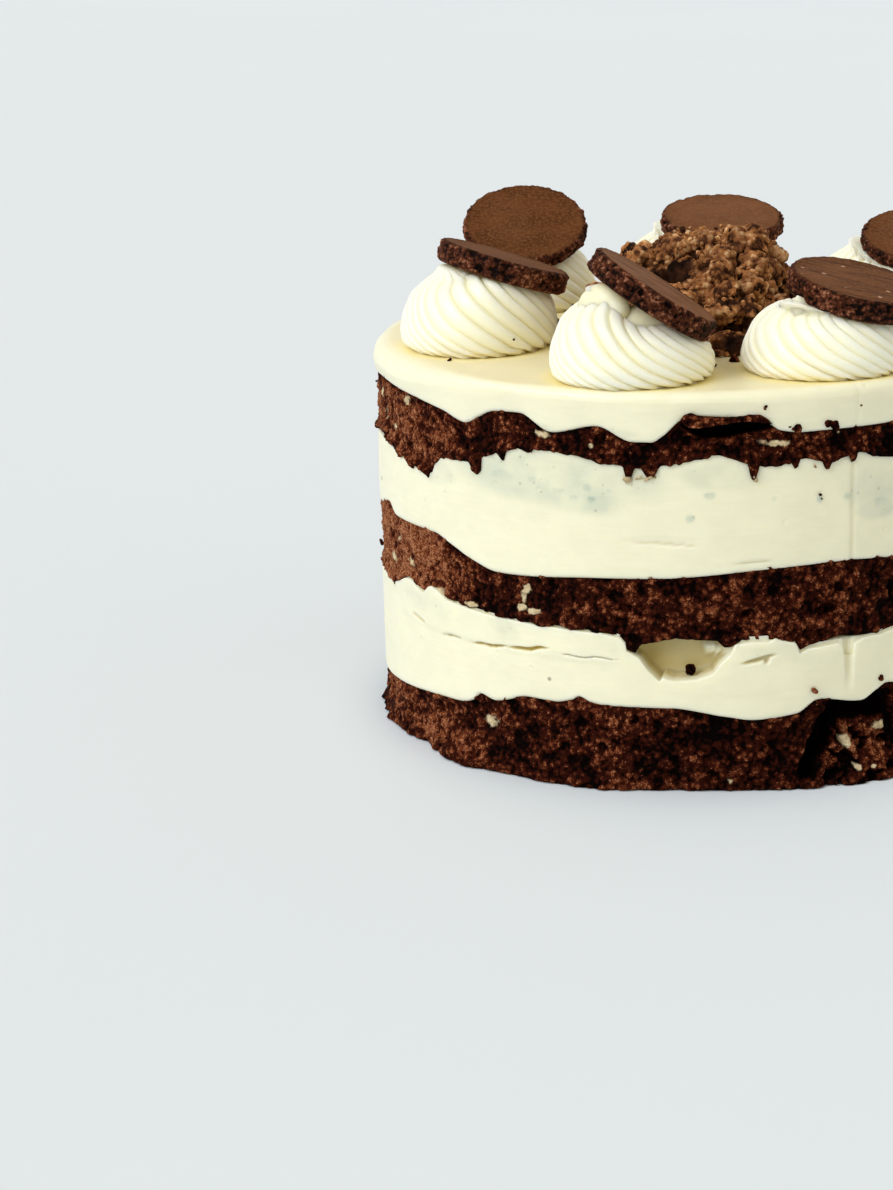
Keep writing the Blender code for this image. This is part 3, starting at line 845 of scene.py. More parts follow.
# %% The hole in the lower sponge
def torn_hole(radius, height):
    """A hole up to 6 mm deep in the lower sponge, with a lumpy chunk left standing in it. The
    hole's left side leans to the right as it rises. On the left of the cake the side is fluted."""
    points = wall_points(radius, height)
    lumps = layered_noise(points, 5 * MM, 333)
    up = height / MM
    across = apart(DEGREES, 0) + 1.2 * lumps
    right = 41.5 - 0.30 * up + 2.2 * layered_noise(points, 4 * MM, 336)
    hole = ease(across, 17.4 + 0.014 * up**2, 18.8 + 0.014 * up**2) * ease(across, right, right - 4)
    hole = hole * ease(height + 0.8 * MM * lumps, 21.0 * MM, 19.0 * MM)
    at_ends = ease(across, 23.0, 20.5) + ease(across, 34.0, 37.0)
    hole = hole * (1 - at_ends * ease(height, 4.0 * MM, 1.0 * MM))
    left = 19.4 + 0.42 * up - 0.01 * up**2
    chunk = ease(across + 1.2 * lumps, left - 0.4, left + 0.9) * ease(across, right - 1, right - 4)
    chunk = chunk * ease(height + 1.6 * MM * lumps, 15.6 * MM, 14.0 * MM)
    cracks = ease(np.abs(lumps + 0.1), 0.12, 0.0) + oval(height, 26.4, 5.6, 1.5, 1.5)
    knobs = 0.5 - 1.6 * lumps + 1.2 * cell_noise(points, 3.4 * MM, 335)[0]
    flutes = 0.6 * soft_noise(points * np.array([1.0, 1.0, 0.12]), 2.2 * MM, 337)
    flutes = flutes * near(-68, 36.0, 24.0)
    flutes = flutes * ease(height, 19 * MM, 9 * MM) * ease(height, 0.5 * MM, 2 * MM)
    return (hole * (6.0 * (1 - chunk) + chunk * (knobs + 2.0 * cracks)) + flutes) * MM


# %% Lower sponge
middle_height = np.minimum(9 * MM, 0.6 * lower_cream_foot)
fluted = near(-70, 34.0, 22.0) + 0.6 * near(140, 60, 40)
for swing, size, seed, where in ((0.45, 4, 211, 1), (0.30, 1.8, 212, 1), (0.55, 2.3, 213, fluted)):
    waves = soft_noise(WALL_RING, size * MM, seed)
    foot_outline = foot_outline + swing * MM * waves * where
make_sponge("sponge_bottom", [
    (SIDE_RADIUS - 9 * MM, 0.0),
    (foot_outline - 0.8 * MM, 0.0),
    (foot_outline, 0.5 * MM),
    (0.45 * foot_outline + 0.55 * WALL, 0.5 * middle_height),
    (WALL, middle_height),
    (WALL, lower_cream_foot + 0.7 * MM),
    (WALL - 2.5 * MM, lower_cream_foot + 1.2 * MM),
], [1, 2, 14, 14, 28, 3], torn_hole, [
    (-37.6, 11.6, 2.8, 1.8, 0.7), (6, 2.5, 0.8, 0.8, 0.7), (26.8, 9.0, 1.3, 2.2, 0.95),
    (33.0, 11.8, 2.0, 1.2, 0.9), (28.3, 3.4, 1.0, 0.8, 0.85), (31.0, 3.2, 0.8, 0.7, 0.8),
    (95, 9, 2.4, 1.6, 0.8), (-150, 8, 1.6, 1.4, 0.8),
], [(-64, 8, 24, 10, 0.34), (29, 8, 7, 8, 0.40), (-2, 16, 5, 1.5, 0.25),
    (-14, 16, 4, 1.5, 0.22)], 200)

# %% [markdown]
# ## The creams
# Each cream is a band with a soft rounded lip at its foot. The lower one has torn away under
# the middle sponge: its edge drops, a ledge runs in behind it, and a wall rises again 5 mm
# further in. A cream's relief is gentle, and slits, folds and the scraper's seam are added to
# it as dents. What is dented is also marked, so that the finish paints it darker as shade.

# %% Cream bands
CREAM_WALL = SIDE_RADIUS + 0.25 * MM
LIP = 0.8 * MM  # radius of the rounded lip at a band's foot


def cream_relief(points, seed):
    """Scraped cream swells and sinks by about 0.2 mm, in patches longer than they are high."""
    stretched = points * np.array([1.0, 1.0, 2.2])
    return (0.22 * layered_noise(stretched, 16 * MM, 500 + seed)
            + 0.05 * soft_noise(stretched, 2.5 * MM, 520 + seed)) * MM


def cream_piece(name, rings, finish, slot, *nodes, thin=0.0, painted_shade=0.0, painted_glow=0.0):
    """A piece of cream. Its thinness, its painted shade and its painted warm glow are each one
    number, or one for each point.
    """
    flat = np.zeros(rings.shape[:2])
    values = {"thin": flat + thin, "painted_shade": flat + painted_shade, "painted_glow": flat + painted_glow}
    finish_piece(skin(name, rings, finish, values), slot, *nodes)


def lip_at(foot):
    """The first five stations of a cream band: from inside the cake to its rounded lip."""
    return [(SIDE_RADIUS - 5 * MM, foot + LIP), *rounded(CREAM_WALL, foot, LIP, False)]


def make_cream(name, stations, steps, marks, seed):
    """A cream band. Marks gives, for radii and heights: how far each point is pushed in, and how
    thin it looks and how much painted shade it gets there."""
    radius, height = rows_between(stations, steps)
    dent, thin, painted_shade = marks(radius, height)
    relief = cream_relief(wall_points(radius, height), seed) - dent
    rings = wall_points(radius + relief, height)
    cream_piece(name, rings, CREAM, "cream", name, thin=thin, painted_shade=painted_shade)


# %% Torn edge and slits of the lower cream
# Its torn upper edge, in front.
TORN_LIP = [
    (-15.8, 35.9), (-12.3, 35.0), (-11.5, 34.0), (-11.3, 32.2), (-9.1, 30.6), (-7.8, 28.2),
    (-5.8, 25.6), (-5.2, 26.4), (-3.4, 25.8), (-1.7, 25.9), (0.6, 26.2), (3.1, 27.4), (4.2, 29.6),
    (6.0, 31.8), (6.6, 33.8), (9.0, 34.2), (12.3, 34.0), (13.3, 34.8), (14.6, 34.1), (16.9, 33.4),
    (17.5, 31.0), (19.3, 31.9), (22.2, 32.0), (24.7, 32.4), (25.3, 30.8), (25.6, 29.0),
    (27.2, 29.0), (27.4, 31.6), (29.2, 32.8), (33.0, 32.9),
]
# Slits: azimuth, height, half length in degrees, half width in millimetres, slant in millimetres
# for each degree, and how much painted shade darkens it.
SLITS = [
    (-56.5, 30.4, 2.2, 0.36, -0.27, 0.7), (-46.5, 28.9, 2.4, 0.24, 0.09, 0.5),
    (-37.2, 29.4, 4.0, 0.38, 0.13, 0.9), (-29.0, 30.5, 3.8, 0.48, 0.18, 1.0),
    (-19.0, 30.2, 6.0, 0.14, -0.02, 0.2), (10.6, 30.2, 2.7, 0.52, 0.30, 0.5),
    (11.9, 30.0, 0.45, 0.9, 0.0, 0.45), (98, 26, 3.4, 0.28, 0.1, 0.8),
    (-142, 24, 4.4, 0.28, -0.1, 0.8), (168, 27, 3.0, 0.24, 0.12, 0.8),
]


def lower_marks(radius, height):
    """Slits, a notch in the torn edge, the step of a lapped stroke, and a torn hollow, painted dark
    as shade in the slits and the hollow.
    """
    slit, dark = np.zeros(radius.shape), np.zeros(radius.shape)
    waver = 0.35 * MM * soft_noise(wall_points(radius, 0 * height), 3 * MM, 545)
    for azimuth, middle, half, width, slant, shade in SLITS:
        cut = oval(height + waver, azimuth, middle, half, width, slant)
        slit, dark = np.maximum(slit, cut), np.maximum(dark, shade * cut)
    notch = near(26.4, 1.0, 0.2) * ease(height, 20 * MM, 29 * MM)
    lap = 0.30 * ease(apart(DEGREES, -22), 12.0, 4.0) * ease(apart(DEGREES, -22), -45.0, -38.0)
    step = lap * ease(height, 28.4 * MM, 30.6 * MM)
    outside = ease(radius, CREAM_WALL - 3 * MM, CREAM_WALL - 1 * MM)
    dent = (1.1 * slit + 1.2 * notch - step) * outside * MM
    inside = ease(radius, CREAM_WALL - 1.2 * MM, CREAM_WALL - 4.5 * MM)
    top = ease(height, middle_sponge_foot - 8 * MM, middle_sponge_foot - 1 * MM)
    hazy = ease(layered_noise(wall_points(radius, height), 7 * MM, 540), -0.1, 0.7)
    lump = oval(height, 3.0, 32.0, 1.6, 1.5) * inside
    # Painted shade inside the hollow, deeper on its left.
    shaded = inside * (0.66 + 0.24 * ease(apart(DEGREES, -3), 1.0, -6.0)) * (1 - lump)
    dent = dent - 1.6 * lump * (1 + 0.5 * soft_noise(wall_points(radius, height), MM, 547)) * MM
    return dent, 0.35 * hazy * top * (1 - inside), np.clip(dark + shaded, 0.0, 1.0)


# %% Lower cream
lip = torn(middle_sponge_foot, TORN_LIP)
halfway = 0.55 * lower_cream_foot + 0.45 * lip
hollow = 5.5 * MM * ease(apart(DEGREES, -3.0) ** 2, 95.0, 25.0)
back = CREAM_WALL - 0.9 * MM - hollow
make_cream("cream_lower", [
    *lip_at(lower_cream_foot),
    (CREAM_WALL, halfway),
    *rounded(CREAM_WALL, lip, 0.3 * MM, True),
    (back, lip + 0.1 * MM),
    (back, middle_sponge_foot + 0.8 * MM),
    (SIDE_RADIUS - 12 * MM, middle_sponge_foot + 1.0 * MM),
], [1, 1, 1, 1, 14, 34, 1, 1, 1, 4, 6, 1], lower_marks, 0)

# %% Middle cream
# Where it is thin: azimuth, height, half width in degrees, half height, and how thin.
THIN_PATCHES = [
    (-24, 69.5, 20, 6.0, 0.55), (-18, 66.0, 8, 4.0, 0.55), (-33.5, 68.8, 3.0, 1.6, 0.75),
    (-50, 66.5, 6, 3.0, 0.35), (-22.8, 67.0, 1.4, 0.7, 1.0), (-27.6, 68.8, 1.0, 0.7, 0.9),
    (-17.6, 68.0, 1.0, 1.0, 0.9), (-16.9, 65.6, 0.9, 0.8, 1.0), (-13.9, 67.6, 0.7, 0.7, 0.8),
    (-20.0, 65.6, 1.2, 0.6, 0.9), (-0.7, 62.0, 0.8, 0.9, 1.0), (2.5, 67.0, 1.0, 0.8, 0.9),
    (12.9, 65.8, 0.5, 0.5, 0.8), (25.7, 65.0, 0.8, 0.8, 1.0), (31.4, 61.5, 4.0, 2.6, 0.8),
    (31, 66, 6, 5.0, 0.40), (4, 71, 7, 3.0, 0.30), (20.7, 65.0, 0.6, 0.9, 0.8),
    (100, 66, 16, 5.0, 0.45), (170, 62, 14, 5.0, 0.45), (-140, 64, 18, 5.0, 0.45),
]


def middle_marks(radius, height):
    """Ragged thin patches, the seam where the scraper was lifted, and two level scratches."""
    points = wall_points(radius, height)
    ragged = ease(layered_noise(points, 5 * MM, 560, 4), -0.55, 0.45)
    thin = np.zeros(radius.shape)
    for azimuth, middle, half, tall, amount in THIN_PATCHES:
        patch = amount * oval(height, azimuth, middle, half, tall)
        thin = np.maximum(thin, patch * (0.35 + 0.65 * ragged))
    past_seam = apart(DEGREES, 26.3)
    groove = ease(np.abs(past_seam - 0.25), 0.75, 0.15)
    beyond = ease(past_seam, -0.1, 0.3) * ease(past_seam, 60.0, 10.0)
    scratch = oval(height, -5.5, 56.4, 6.0, 0.34, -0.06) + oval(height, 9.0, 52.0, 4.0, 0.2, 0.1)
    smooth = oval(height, -4.5, 57.2, 5.0, 0.9, -0.05) + oval(height, -26, 51.6, 1.0, 0.6)
    dent = (0.22 * groove + 0.15 * beyond + 0.40 * scratch + 0.15 * smooth) * MM
    # The seam's groove and the scratches are also painted a little darker, as shade.
    return dent, thin, np.clip(0.08 * groove + 0.16 * scratch, 0.0, 1.0)


make_cream("cream_middle", [
    *lip_at(middle_cream_foot),
    *rounded(CREAM_WALL, upper_sponge_foot + 0.9 * MM, 0.5 * MM, True),
    (SIDE_RADIUS - 5 * MM, upper_sponge_foot + 1.0 * MM),
], [1, 1, 1, 1, 52, 1, 1, 1, 1], middle_marks, 30)

# %% [markdown]
# ## Where the swirls and biscuits stand
# The table comes before the top cream, because a warm glow of bounced light is painted on the
# top round the foot of each swirl.

# %% A table of swirls and biscuits
# Azimuth, ring, radius and height of the swirl; the biscuit's middle, its tilts to the right and
# forwards, and its thickness; which way the knob leans; and the shoulder's share of the height.
# Degrees and millimetres.
Swirl = namedtuple(
    "Swirl", "azimuth ring radius height biscuit right forward thick knob shoulder")
SWIRLS = [
    Swirl(-70.6, 52.6, 18.0, 19.5, (-43.8, -16.0, 107.0), 17, -5.5, 5.0, (-3.8, -1.5), 0.93),
    Swirl(-13.6, 57.4, 17.7, 20.5, (-8.9, -56.0, 106.8), 33, -2.6, 5.0, (-5.2, -2.2), 0.60),
    Swirl(30.0, 56.2, 17.3, 16.5, (35.2, -47.0, 105.6), 13, 7, 5.0, (-5.4, -8.0), 0.84),
    Swirl(78.0, 56.0, 17.6, 18.0, (58.5, -9.0, 103.0), -20, 4, 4.6, (3.0, -4.0), 0.80),
    Swirl(122.0, 56.0, 17.8, 17.0, (55.9, 29.0, 105.3), -1, 18, 3.6, (-5.0, 2.0), 0.78),
    Swirl(180.0, 56.0, 18.0, 17.5, (7.0, 54.0, 106.3), 2, 13, 4.2, (-5.5, 3.0), 0.80),
    Swirl(-131.0, 56.0, 17.8, 18.5, (-41.5, 33.0, 108.8), 3, 29, 3.6, (-2.0, 5.0), 0.80),
]
BISCUIT_RADIUS = 15.25 * MM


def swirl_middle(swirl):
    """Where the axis of a swirl stands on the top."""
    turn = math.radians(swirl.azimuth)
    return np.array([math.sin(turn), -math.cos(turn)]) * swirl.ring * MM


def biscuit_axes(swirl):
    """The turn of a biscuit, as a 3 by 3 array: its columns are its own x, y and z."""
    turn = Euler((math.radians(swirl.forward), math.radians(swirl.right), 0.0))
    return np.array(turn.to_matrix())


print(len(SWIRLS), "swirls,", f"the tallest {max(swirl.height for swirl in SWIRLS)} mm")

# %% [markdown]
# ## The top cream
# It is a shallow tub: a side like the other bands, a rim that is crisp in front and softer on
# the left, and a nearly flat top. Its relief pushes points out on the side and up on the top,
# so each point's push is turned by how far round the rim it lies.

# %% Top cream
rim_size = (1.6 + 2.4 * ease(apart(DEGREES, -72), 38, 10)
            + 0.5 * ease(apart(DEGREES, 150), 60, 20)) * MM
top_height = CAKE_TOP - 0.1 * MM
radius, height = rows_between([
    *lip_at(top_cream_foot),
    *rounded(RIM_RADIUS - 0.2 * MM, top_height, rim_size, True),
    (RIM_RADIUS - 9 * MM, top_height - 0.25 * MM),
    (34 * MM, top_height),
    (2 * MM, top_height),
], [1, 1, 1, 1, 22, 2, 3, 3, 8, 12, 5])
points = wall_points(radius, height)
push = cream_relief(points, 60) + 0.05 * MM
on_top = height > top_height - rim_size
flatness = ease(radius, RIM_RADIUS - 0.3 * rim_size, RIM_RADIUS - 1.6 * rim_size) * on_top
ripple = 0.07 * soft_noise(points * np.array([1.0, 0.4, 1.0]), 3 * MM, 66) * MM
seam = 0.12 * MM * near(27.2, 0.6, 0.1)
radius = radius + (1 - flatness) * (push - seam)
height = height + flatness * (0.7 * push + ripple)
smeared = oval(height, -13, 80.0, 4.0, 1.2) + oval(height, -27, 80.5, 3.5, 1.0)
feet = np.array([swirl_middle(swirl) for swirl in SWIRLS])
away = np.linalg.norm(points[:, :, None, :2] - feet, axis=-1).min(axis=-1)
contact = ease(away, 22.0 * MM, 16.5 * MM)
inwards = ease(radius, 66 * MM, 44 * MM)
# Painted shade and light: the flat top is painted a little darker, more towards the middle, and
# round the foot of each swirl a warm glow of light bounced from the swirl is painted instead.
cream_piece("cream_top", wall_points(radius, height), CREAM, "cream", "cream_top",
            thin=0.25 * smeared, painted_shade=flatness * (1 - contact) * (0.10 + 0.18 * inwards),
            painted_glow=flatness * (0.25 + 0.65 * contact))

# %% [markdown]
# ## Piped swirls
# A swirl is piped through a star nozzle held upright and turned: two dozen ridges climb the
# dome, lean over its shoulder and dive into a groove round the knob where the nozzle was
# lifted. The grid follows the ridges, so every crest and every groove has its own column of
# points. The knob is pushed aside, and the biscuit has pressed one side flat.

# %% Outline of a swirl
RIDGES, COLUMNS_A_RIDGE, SWIRL_ROWS = 24, 12, 84
SWIRL_FOOT = CAKE_TOP - 0.2 * MM  # sunk a little into the cream
LEAN = math.radians(72)  # how far a ridge turns round the swirl on its way up
OVERLAP = 0.45  # how far a ridge leans over the next one
# The outline from the foot over the shoulder to the knob: shares of the radius, and shares of
# the height, first through the groove on the far side and then on the side the knob leans to.
SWIRL_OUTLINE = np.array([
    (0.90, 0.0, 0.0), (0.985, 0.07, 0.07), (1.015, 0.20, 0.20), (0.995, 0.34, 0.33),
    (0.945, 0.48, 0.47), (0.87, 0.61, 0.61), (0.77, 0.725, 0.705), (0.66, 0.80, 0.785),
    (0.55, 0.825, 0.85), (0.45, 0.81, 0.90), (0.37, 0.82, 0.935), (0.31, 0.86, 0.955),
    (0.25, 0.91, 0.97), (0.17, 0.95, 0.985), (0.09, 0.965, 0.995), (0.02, 1.0, 1.0),
])
SHOULDER = 7.4 / 15  # where on the outline the ridges turn over
SHOULDER_HEIGHT = SWIRL_OUTLINE[:9, 1].max()
# How deep the grooves are, in millimetres, at shares of the way up the outline.
GROOVES = np.array([(0, 1.3), (0.06, 1.0), (0.2, 0.95), (0.42, 1.25), (0.55, 1.1), (0.66, 0.5),
                    (0.74, 0)])


def smooth_path(points, count):
    """A Catmull-Rom curve: through each point it runs parallel to the line that joins the
    point's two neighbours."""
    p = np.array([2 * points[0] - points[1], *points, 2 * points[-1] - points[-2]])
    place = np.linspace(0, len(points) - 1, count)
    k = np.minimum(place.astype(int), len(points) - 2)
    s = (place - k)[:, None]
    a, b, c, d = p[k], p[k + 1], p[k + 2], p[k + 3]
    return 0.5 * (2 * b + (c - a) * s + (2 * a - 5 * b + 4 * c - d) * s**2
                  + (3 * b - a - 3 * c + d) * s**3)


print(f"a swirl is {SWIRL_ROWS} rings of {RIDGES * COLUMNS_A_RIDGE} points")


# %% Ridges of a swirl
def swirl_rings(swirl, seed):
    """Rings of a swirl, and how much painted shade each point gets: most in a groove, some in the
    hollow and round the foot. A crest has the shape of |cos(s/2)|^0.7, round on top with a sharp
    groove on each side, and lies at s - OVERLAP (1 - cos s), so each ridge overlaps the next one.
    All ridges turn by LEAN on the way up, and most of that near the foot."""
    random = np.random.default_rng(seed)
    outline = smooth_path(SWIRL_OUTLINE, SWIRL_ROWS)
    share = np.linspace(0, 1, SWIRL_ROWS)[:, None]
    column = np.arange(RIDGES * COLUMNS_A_RIDGE)
    s = column / COLUMNS_A_RIDGE * 2 * math.pi
    phase = s - OVERLAP * (1 - np.cos(s))
    climb = np.minimum(share / SHOULDER, 1) + 0.45 * np.maximum(share / SHOULDER - 1, 0)
    lean = LEAN * np.sign(1 - climb) * np.abs(1 - climb) ** 1.6
    turn = phase / RIDGES + lean + 0.06 * np.sin(3 * s / RIDGES + seed)
    knob_turn = math.atan2(swirl.knob[0], -swirl.knob[1])
    beyond = np.abs((turn - knob_turn + math.pi) % (2 * math.pi) - math.pi)
    side = ease(np.degrees(beyond), 35.0, 85.0)
    part = outline[:, :1]
    lower = (1 - swirl.shoulder / SHOULDER_HEIGHT) * ease(part, 0.12, 0.40)
    valley = outline[:, 1:2] * (1 - lower)
    height = (outline[:, 2:] + side * (valley - outline[:, 2:])) * swirl.height * MM
    across, up = np.gradient(part * swirl.radius * MM, axis=0), np.gradient(height, axis=0)
    length = np.hypot(across, up)
    crest = np.abs(np.cos(s / 2)) ** 0.7
    strength = np.repeat(random.uniform(0.55, 1.2, RIDGES), COLUMNS_A_RIDGE)
    strength = np.roll(strength, -COLUMNS_A_RIDGE // 2)
    depth = np.interp(share, *GROOVES.T)
    depth = depth * (1 - (1 - side) * ease(share, 0.20, 0.46) * 0.55)
    groove = (1 - crest) * strength * np.minimum(depth, 1.0)
    out = -(1 - crest) * strength * depth * MM + 0.3 * MM * depth
    radius = part * swirl.radius * MM + out * up / length
    height = height - out * across / length
    uneven = 1 + 0.02 * np.sin(2 * turn + seed) + 0.015 * np.sin(3 * turn + 2 * seed)
    aside = ease(part, 0.62, 0.20)
    middle = swirl_middle(swirl)
    x = middle[0] + radius * uneven * np.sin(turn) + aside * swirl.knob[0] * MM
    y = middle[1] - radius * uneven * np.cos(turn) + aside * swirl.knob[1] * MM
    points = np.stack([x, y, SWIRL_FOOT + np.maximum(height, 0.0)], -1)
    hollow = side * ease(part, 0.60, 0.50) * ease(part, 0.20, 0.32)
    soft = 0.25 * layered_noise(points, 6 * MM, 700 + seed) * ease(share, 0.05, 0.3)
    torn_foot = 0.8 * soft_noise(points, 1.8 * MM, 720 + seed) * ease(share, 0.12, 0.02)
    rough = 0.40 * soft_noise(points, 1.2 * MM, 740 + seed) * hollow
    push = ((soft + torn_foot + rough) * MM)[..., None]
    points[..., 0:2] += push * np.stack([np.sin(turn), -np.cos(turn)], -1)
    points[..., 2] += 0.6 * push[..., 0] * (share > 0.03)
    # Painted shade at the foot of the swirl, as well as in its grooves and its hollow.
    foot = ease(height, 1.6 * MM, 0.3 * MM)
    return press_under(points, swirl), np.clip(0.7 * groove + 0.1 * hollow + foot, 0.0, 1.0)


# %% Swirls, pressed flat under their biscuits
def press_under(points, swirl):
    """Presses a swirl flat below its biscuit's underside. The excess e is rounded to
    (e + sqrt(e^2 + k^2)) / 2, so the flat blends into the dome."""
    up = biscuit_axes(swirl)[:, 2]
    middle = np.array(swirl.biscuit) * MM
    above = (points - middle) @ up + swirl.thick * MM / 2 - 0.3 * MM
    away = points - middle - ((points - middle) @ up)[..., None] * up
    under = ease(np.linalg.norm(away, axis=-1), BISCUIT_RADIUS + 5 * MM, BISCUIT_RADIUS - 1 * MM)
    excess = 0.5 * (above + np.sqrt(above**2 + (0.9 * MM) ** 2))
    points[..., 2] -= under * excess / up[2]
    points[..., 2] = np.maximum(points[..., 2], SWIRL_FOOT)
    return points


for number, swirl in enumerate(SWIRLS, start=1):
    rings, groove = swirl_rings(swirl, number)
    name = f"swirl_{number}"
    # The swirl is painted darker as shade in its grooves, its hollow and round its foot.
    cream_piece(name, rings, PIPED, "piped_cream", name, painted_shade=0.45 * groove)

# %% A tapered tube
def tapered(path, radii, count=60, columns=28):
    """A round tube along a smooth path, with a radius that changes on the way. A ring lies in
    two directions square to the path w: a = w x y, where y points to the back, and w x a."""
    path = smooth_path(np.array(path, float) * MM, count)
    radius = smooth_path(np.array(radii, float)[:, None] * MM, count)[..., None]
    way = np.gradient(path, axis=0)
    across = np.cross(way, (0.0, 1.0, 0.0))
    upright = np.cross(way, across)
    across /= np.linalg.norm(across, axis=1, keepdims=True)
    upright /= np.linalg.norm(upright, axis=1, keepdims=True)
    turn = full_turn(columns)[None, :, None]
    ring = np.cos(turn) * across[:, None] + np.sin(turn) * upright[:, None]
    return path[:, None] + radius * ring


def uneven(rings, rough, size, seed):
    """The rings pushed about by noise: rough is how far, and size how large, in millimetres."""
    return rings + rough * MM * soft_noise(rings, size * MM, seed)[..., None]


# %% The curl and torn cream on one swirl, and the peak on another
curl = uneven(tapered([(-22.8, -57.0, 101.0), (-21.2, -58.4, 105.0), (-18.8, -60.8, 106.5),
                       (-16.6, -62.8, 105.3), (-16.2, -64.0, 103.7), (-17.8, -64.2, 102.4)],
                      [2.6, 3.5, 3.5, 2.8, 2.1, 1.0]), 0.18, 3, 760)
low = ease(curl[..., 2], 105.5 * MM, 103.5 * MM)
torn_up = uneven(tapered([(-17.5, -61.0, 99.0), (-13.5, -61.6, 101.6), (-8.5, -60.4, 101.4),
                          (-3.0, -57.0, 99.5)], [1.6, 3.6, 3.6, 1.6]),
                 np.array([0.35, 0.35, 0.7]), 2.6, 762)
peak = uneven(tapered([(24.6, -53.0, 97.5), (23.6, -54.6, 101.5), (22.6, -56.4, 104.3),
                       (22.0, -57.6, 106.4)], [3.9, 3.5, 1.9, 0.25]), 0.18, 2.5, 761)
# Painted shade, most on the curl's low side, and a painted warm glow of bounced light on all three.
for name, rings, painted_shade, painted_glow in (
        ("swirl_2_curl", curl, 0.12 + 0.5 * low, 0.30 + 0.3 * low),
        ("swirl_2_torn", press_under(torn_up, SWIRLS[1]), 0.10, 0.40),
        ("swirl_3_peak", peak, 0.10, 0.20)):
    cream_piece(name, rings, PIPED, "piped_cream", painted_shade=painted_shade, painted_glow=painted_glow)

# %% [markdown]
# ## Thin round biscuits
# These are plain cocoa biscuits cut from a baked sheet: a matt cloudy face, scored with thin
# lines on some of them and dusty with sugar on others, and a broken rim full of holes. The rim
# gets the sponge's kind of relief at a smaller size. Each point keeps its place on the biscuit
# itself, so the lines follow the biscuit however it leans.

# %% Finish of the biscuits
BISCUIT, tree, shader = new_finish("cocoa_biscuit", Roughness=0.68, Specular_IOR_Level=0.06)
# The rim's holes are painted near black as shade, its crests are partly painted light, and its
# glints are painted highlights.
crumb = grouped(tree, CRUMB, Hollow=(0.004, 0.0012, 0.0006), Body=(0.070, 0.018, 0.007),
                Crest=(0.25, 0.090, 0.042), Glint=(0.46, 0.25, 0.16),
                Relief=kept(tree, "relief"), Grain=0.6 * MM, Zones=8 * MM)
own = node(tree, "Attribute", {"attribute_name": "own_place"}).outputs["Vector"]
drawn = node(tree, "Mapping", Vector=own, Scale=(0.10, 1.0, 1.0))
rolled = noise(tree, 1.3 * MM, 4.0, drawn.outputs["Vector"])
dusty = noise(tree, 0.8 * MM, 4.0, own)
clouded = grouped(tree, PATCHES, Color=(0.115, 0.037, 0.0095), Other=(0.062, 0.019, 0.0045),
                  Size=7 * MM, Amount=0.8)
mottled = mixed(tree, stepped(tree, dusty, 0.38, 0.70), clouded["Color"], (0.155, 0.057, 0.018))
mottled = mixed(tree, kept(tree, "tone"), mottled, (0.270, 0.118, 0.055))
scored = worked(tree, "MULTIPLY", stepped(tree, rolled, 0.54, 0.62), kept(tree, "scored"))
lined = mixed(tree, scored, mottled, (0.050, 0.017, 0.007))
sugared = grouped(tree, SPECKS, Color=lined, Speck=(0.46, 0.27, 0.17), Size=2.3 * MM,
                  Share=kept(tree, "sugar"))
fill(tree, shader.inputs["Base Color"],
     mixed(tree, kept(tree, "face"), crumb["Color"], sugared["Color"]))
height = worked(tree, "MULTIPLY_ADD", scored, -1.1, dusty)
raised(tree, shader, height, 0.25 * MM)
print("biscuit finish:", BISCUIT.name)


# %% Shape of a biscuit
BISCUIT_COLUMNS = 300


def biscuit_rings(swirl, seed):
    """Rings from the middle of the underside, over the rim, to the middle of the face, in the
    biscuit's own place. The face dips a little and the rim is torn."""
    r, half, bevel = BISCUIT_RADIUS, swirl.thick * MM / 2, 0.7 * MM
    corners = np.array([(0.5 * MM, -half), (r - bevel, -half), (r, bevel - half),
                        (r, half - bevel), (r - bevel, half), (0.5 * MM, half)])
    path = between(corners, [10, 3, 14, 3, 22])
    turn = full_turn(BISCUIT_COLUMNS)
    radius, height = path[:, :1] + 0 * turn, path[:, 1:] + 0 * turn
    radius = radius * (1 + 0.008 * np.sin(2 * turn + seed) + 0.006 * np.sin(5 * turn + seed))
    rim = ease(path[:, :1], r - 1.5 * MM, r - 0.5 * MM)
    own = wall_points(radius, height, turn)
    spot = own + seed * 0.1
    clump, lot = cell_noise(spot, 1.9 * MM, 801)
    bead, bead_lot = cell_noise(spot, 0.95 * MM, 811)
    hole = ease(lot, 0.30, 0.20) * ease(clump, 0.6, 0.2)
    torn = (0.7 * (0.55 - clump) + 0.5 * (0.55 - bead) - 1.0 * hole) * MM
    dished = (0.25 * layered_noise(spot, 7 * MM, 821) - 0.15) * MM * np.sign(height)
    own[..., 0] += rim * torn * np.sin(turn)
    own[..., 1] -= rim * torn * np.cos(turn)
    own[..., 2] += (1 - rim) * dished + 0.5 * rim * (1 - np.abs(height) / half) * torn
    look = 0.5 + 0.45 * (0.55 - clump) + 0.8 * (0.55 - bead) - 0.5 * hole
    look = look + 0.35 * (bead_lot - 0.5)
    face = ease(path[:, :1], r - 0.3 * MM, r - 1.3 * MM) + 0 * turn
    return own, look, face


# %% Seven biscuits
def dusty_face(own, seed, tone):
    """How pale the face is: the biscuit's own tone, clouds 8 mm across, and less at the rim."""
    spot = own + seed * 0.1
    at_rim = ease(np.hypot(own[..., 0], own[..., 1]), 9 * MM, 15 * MM)
    return np.clip(tone + 0.16 * layered_noise(spot, 8 * MM, 831) - 0.10 * at_rim, 0.0, 1.0)


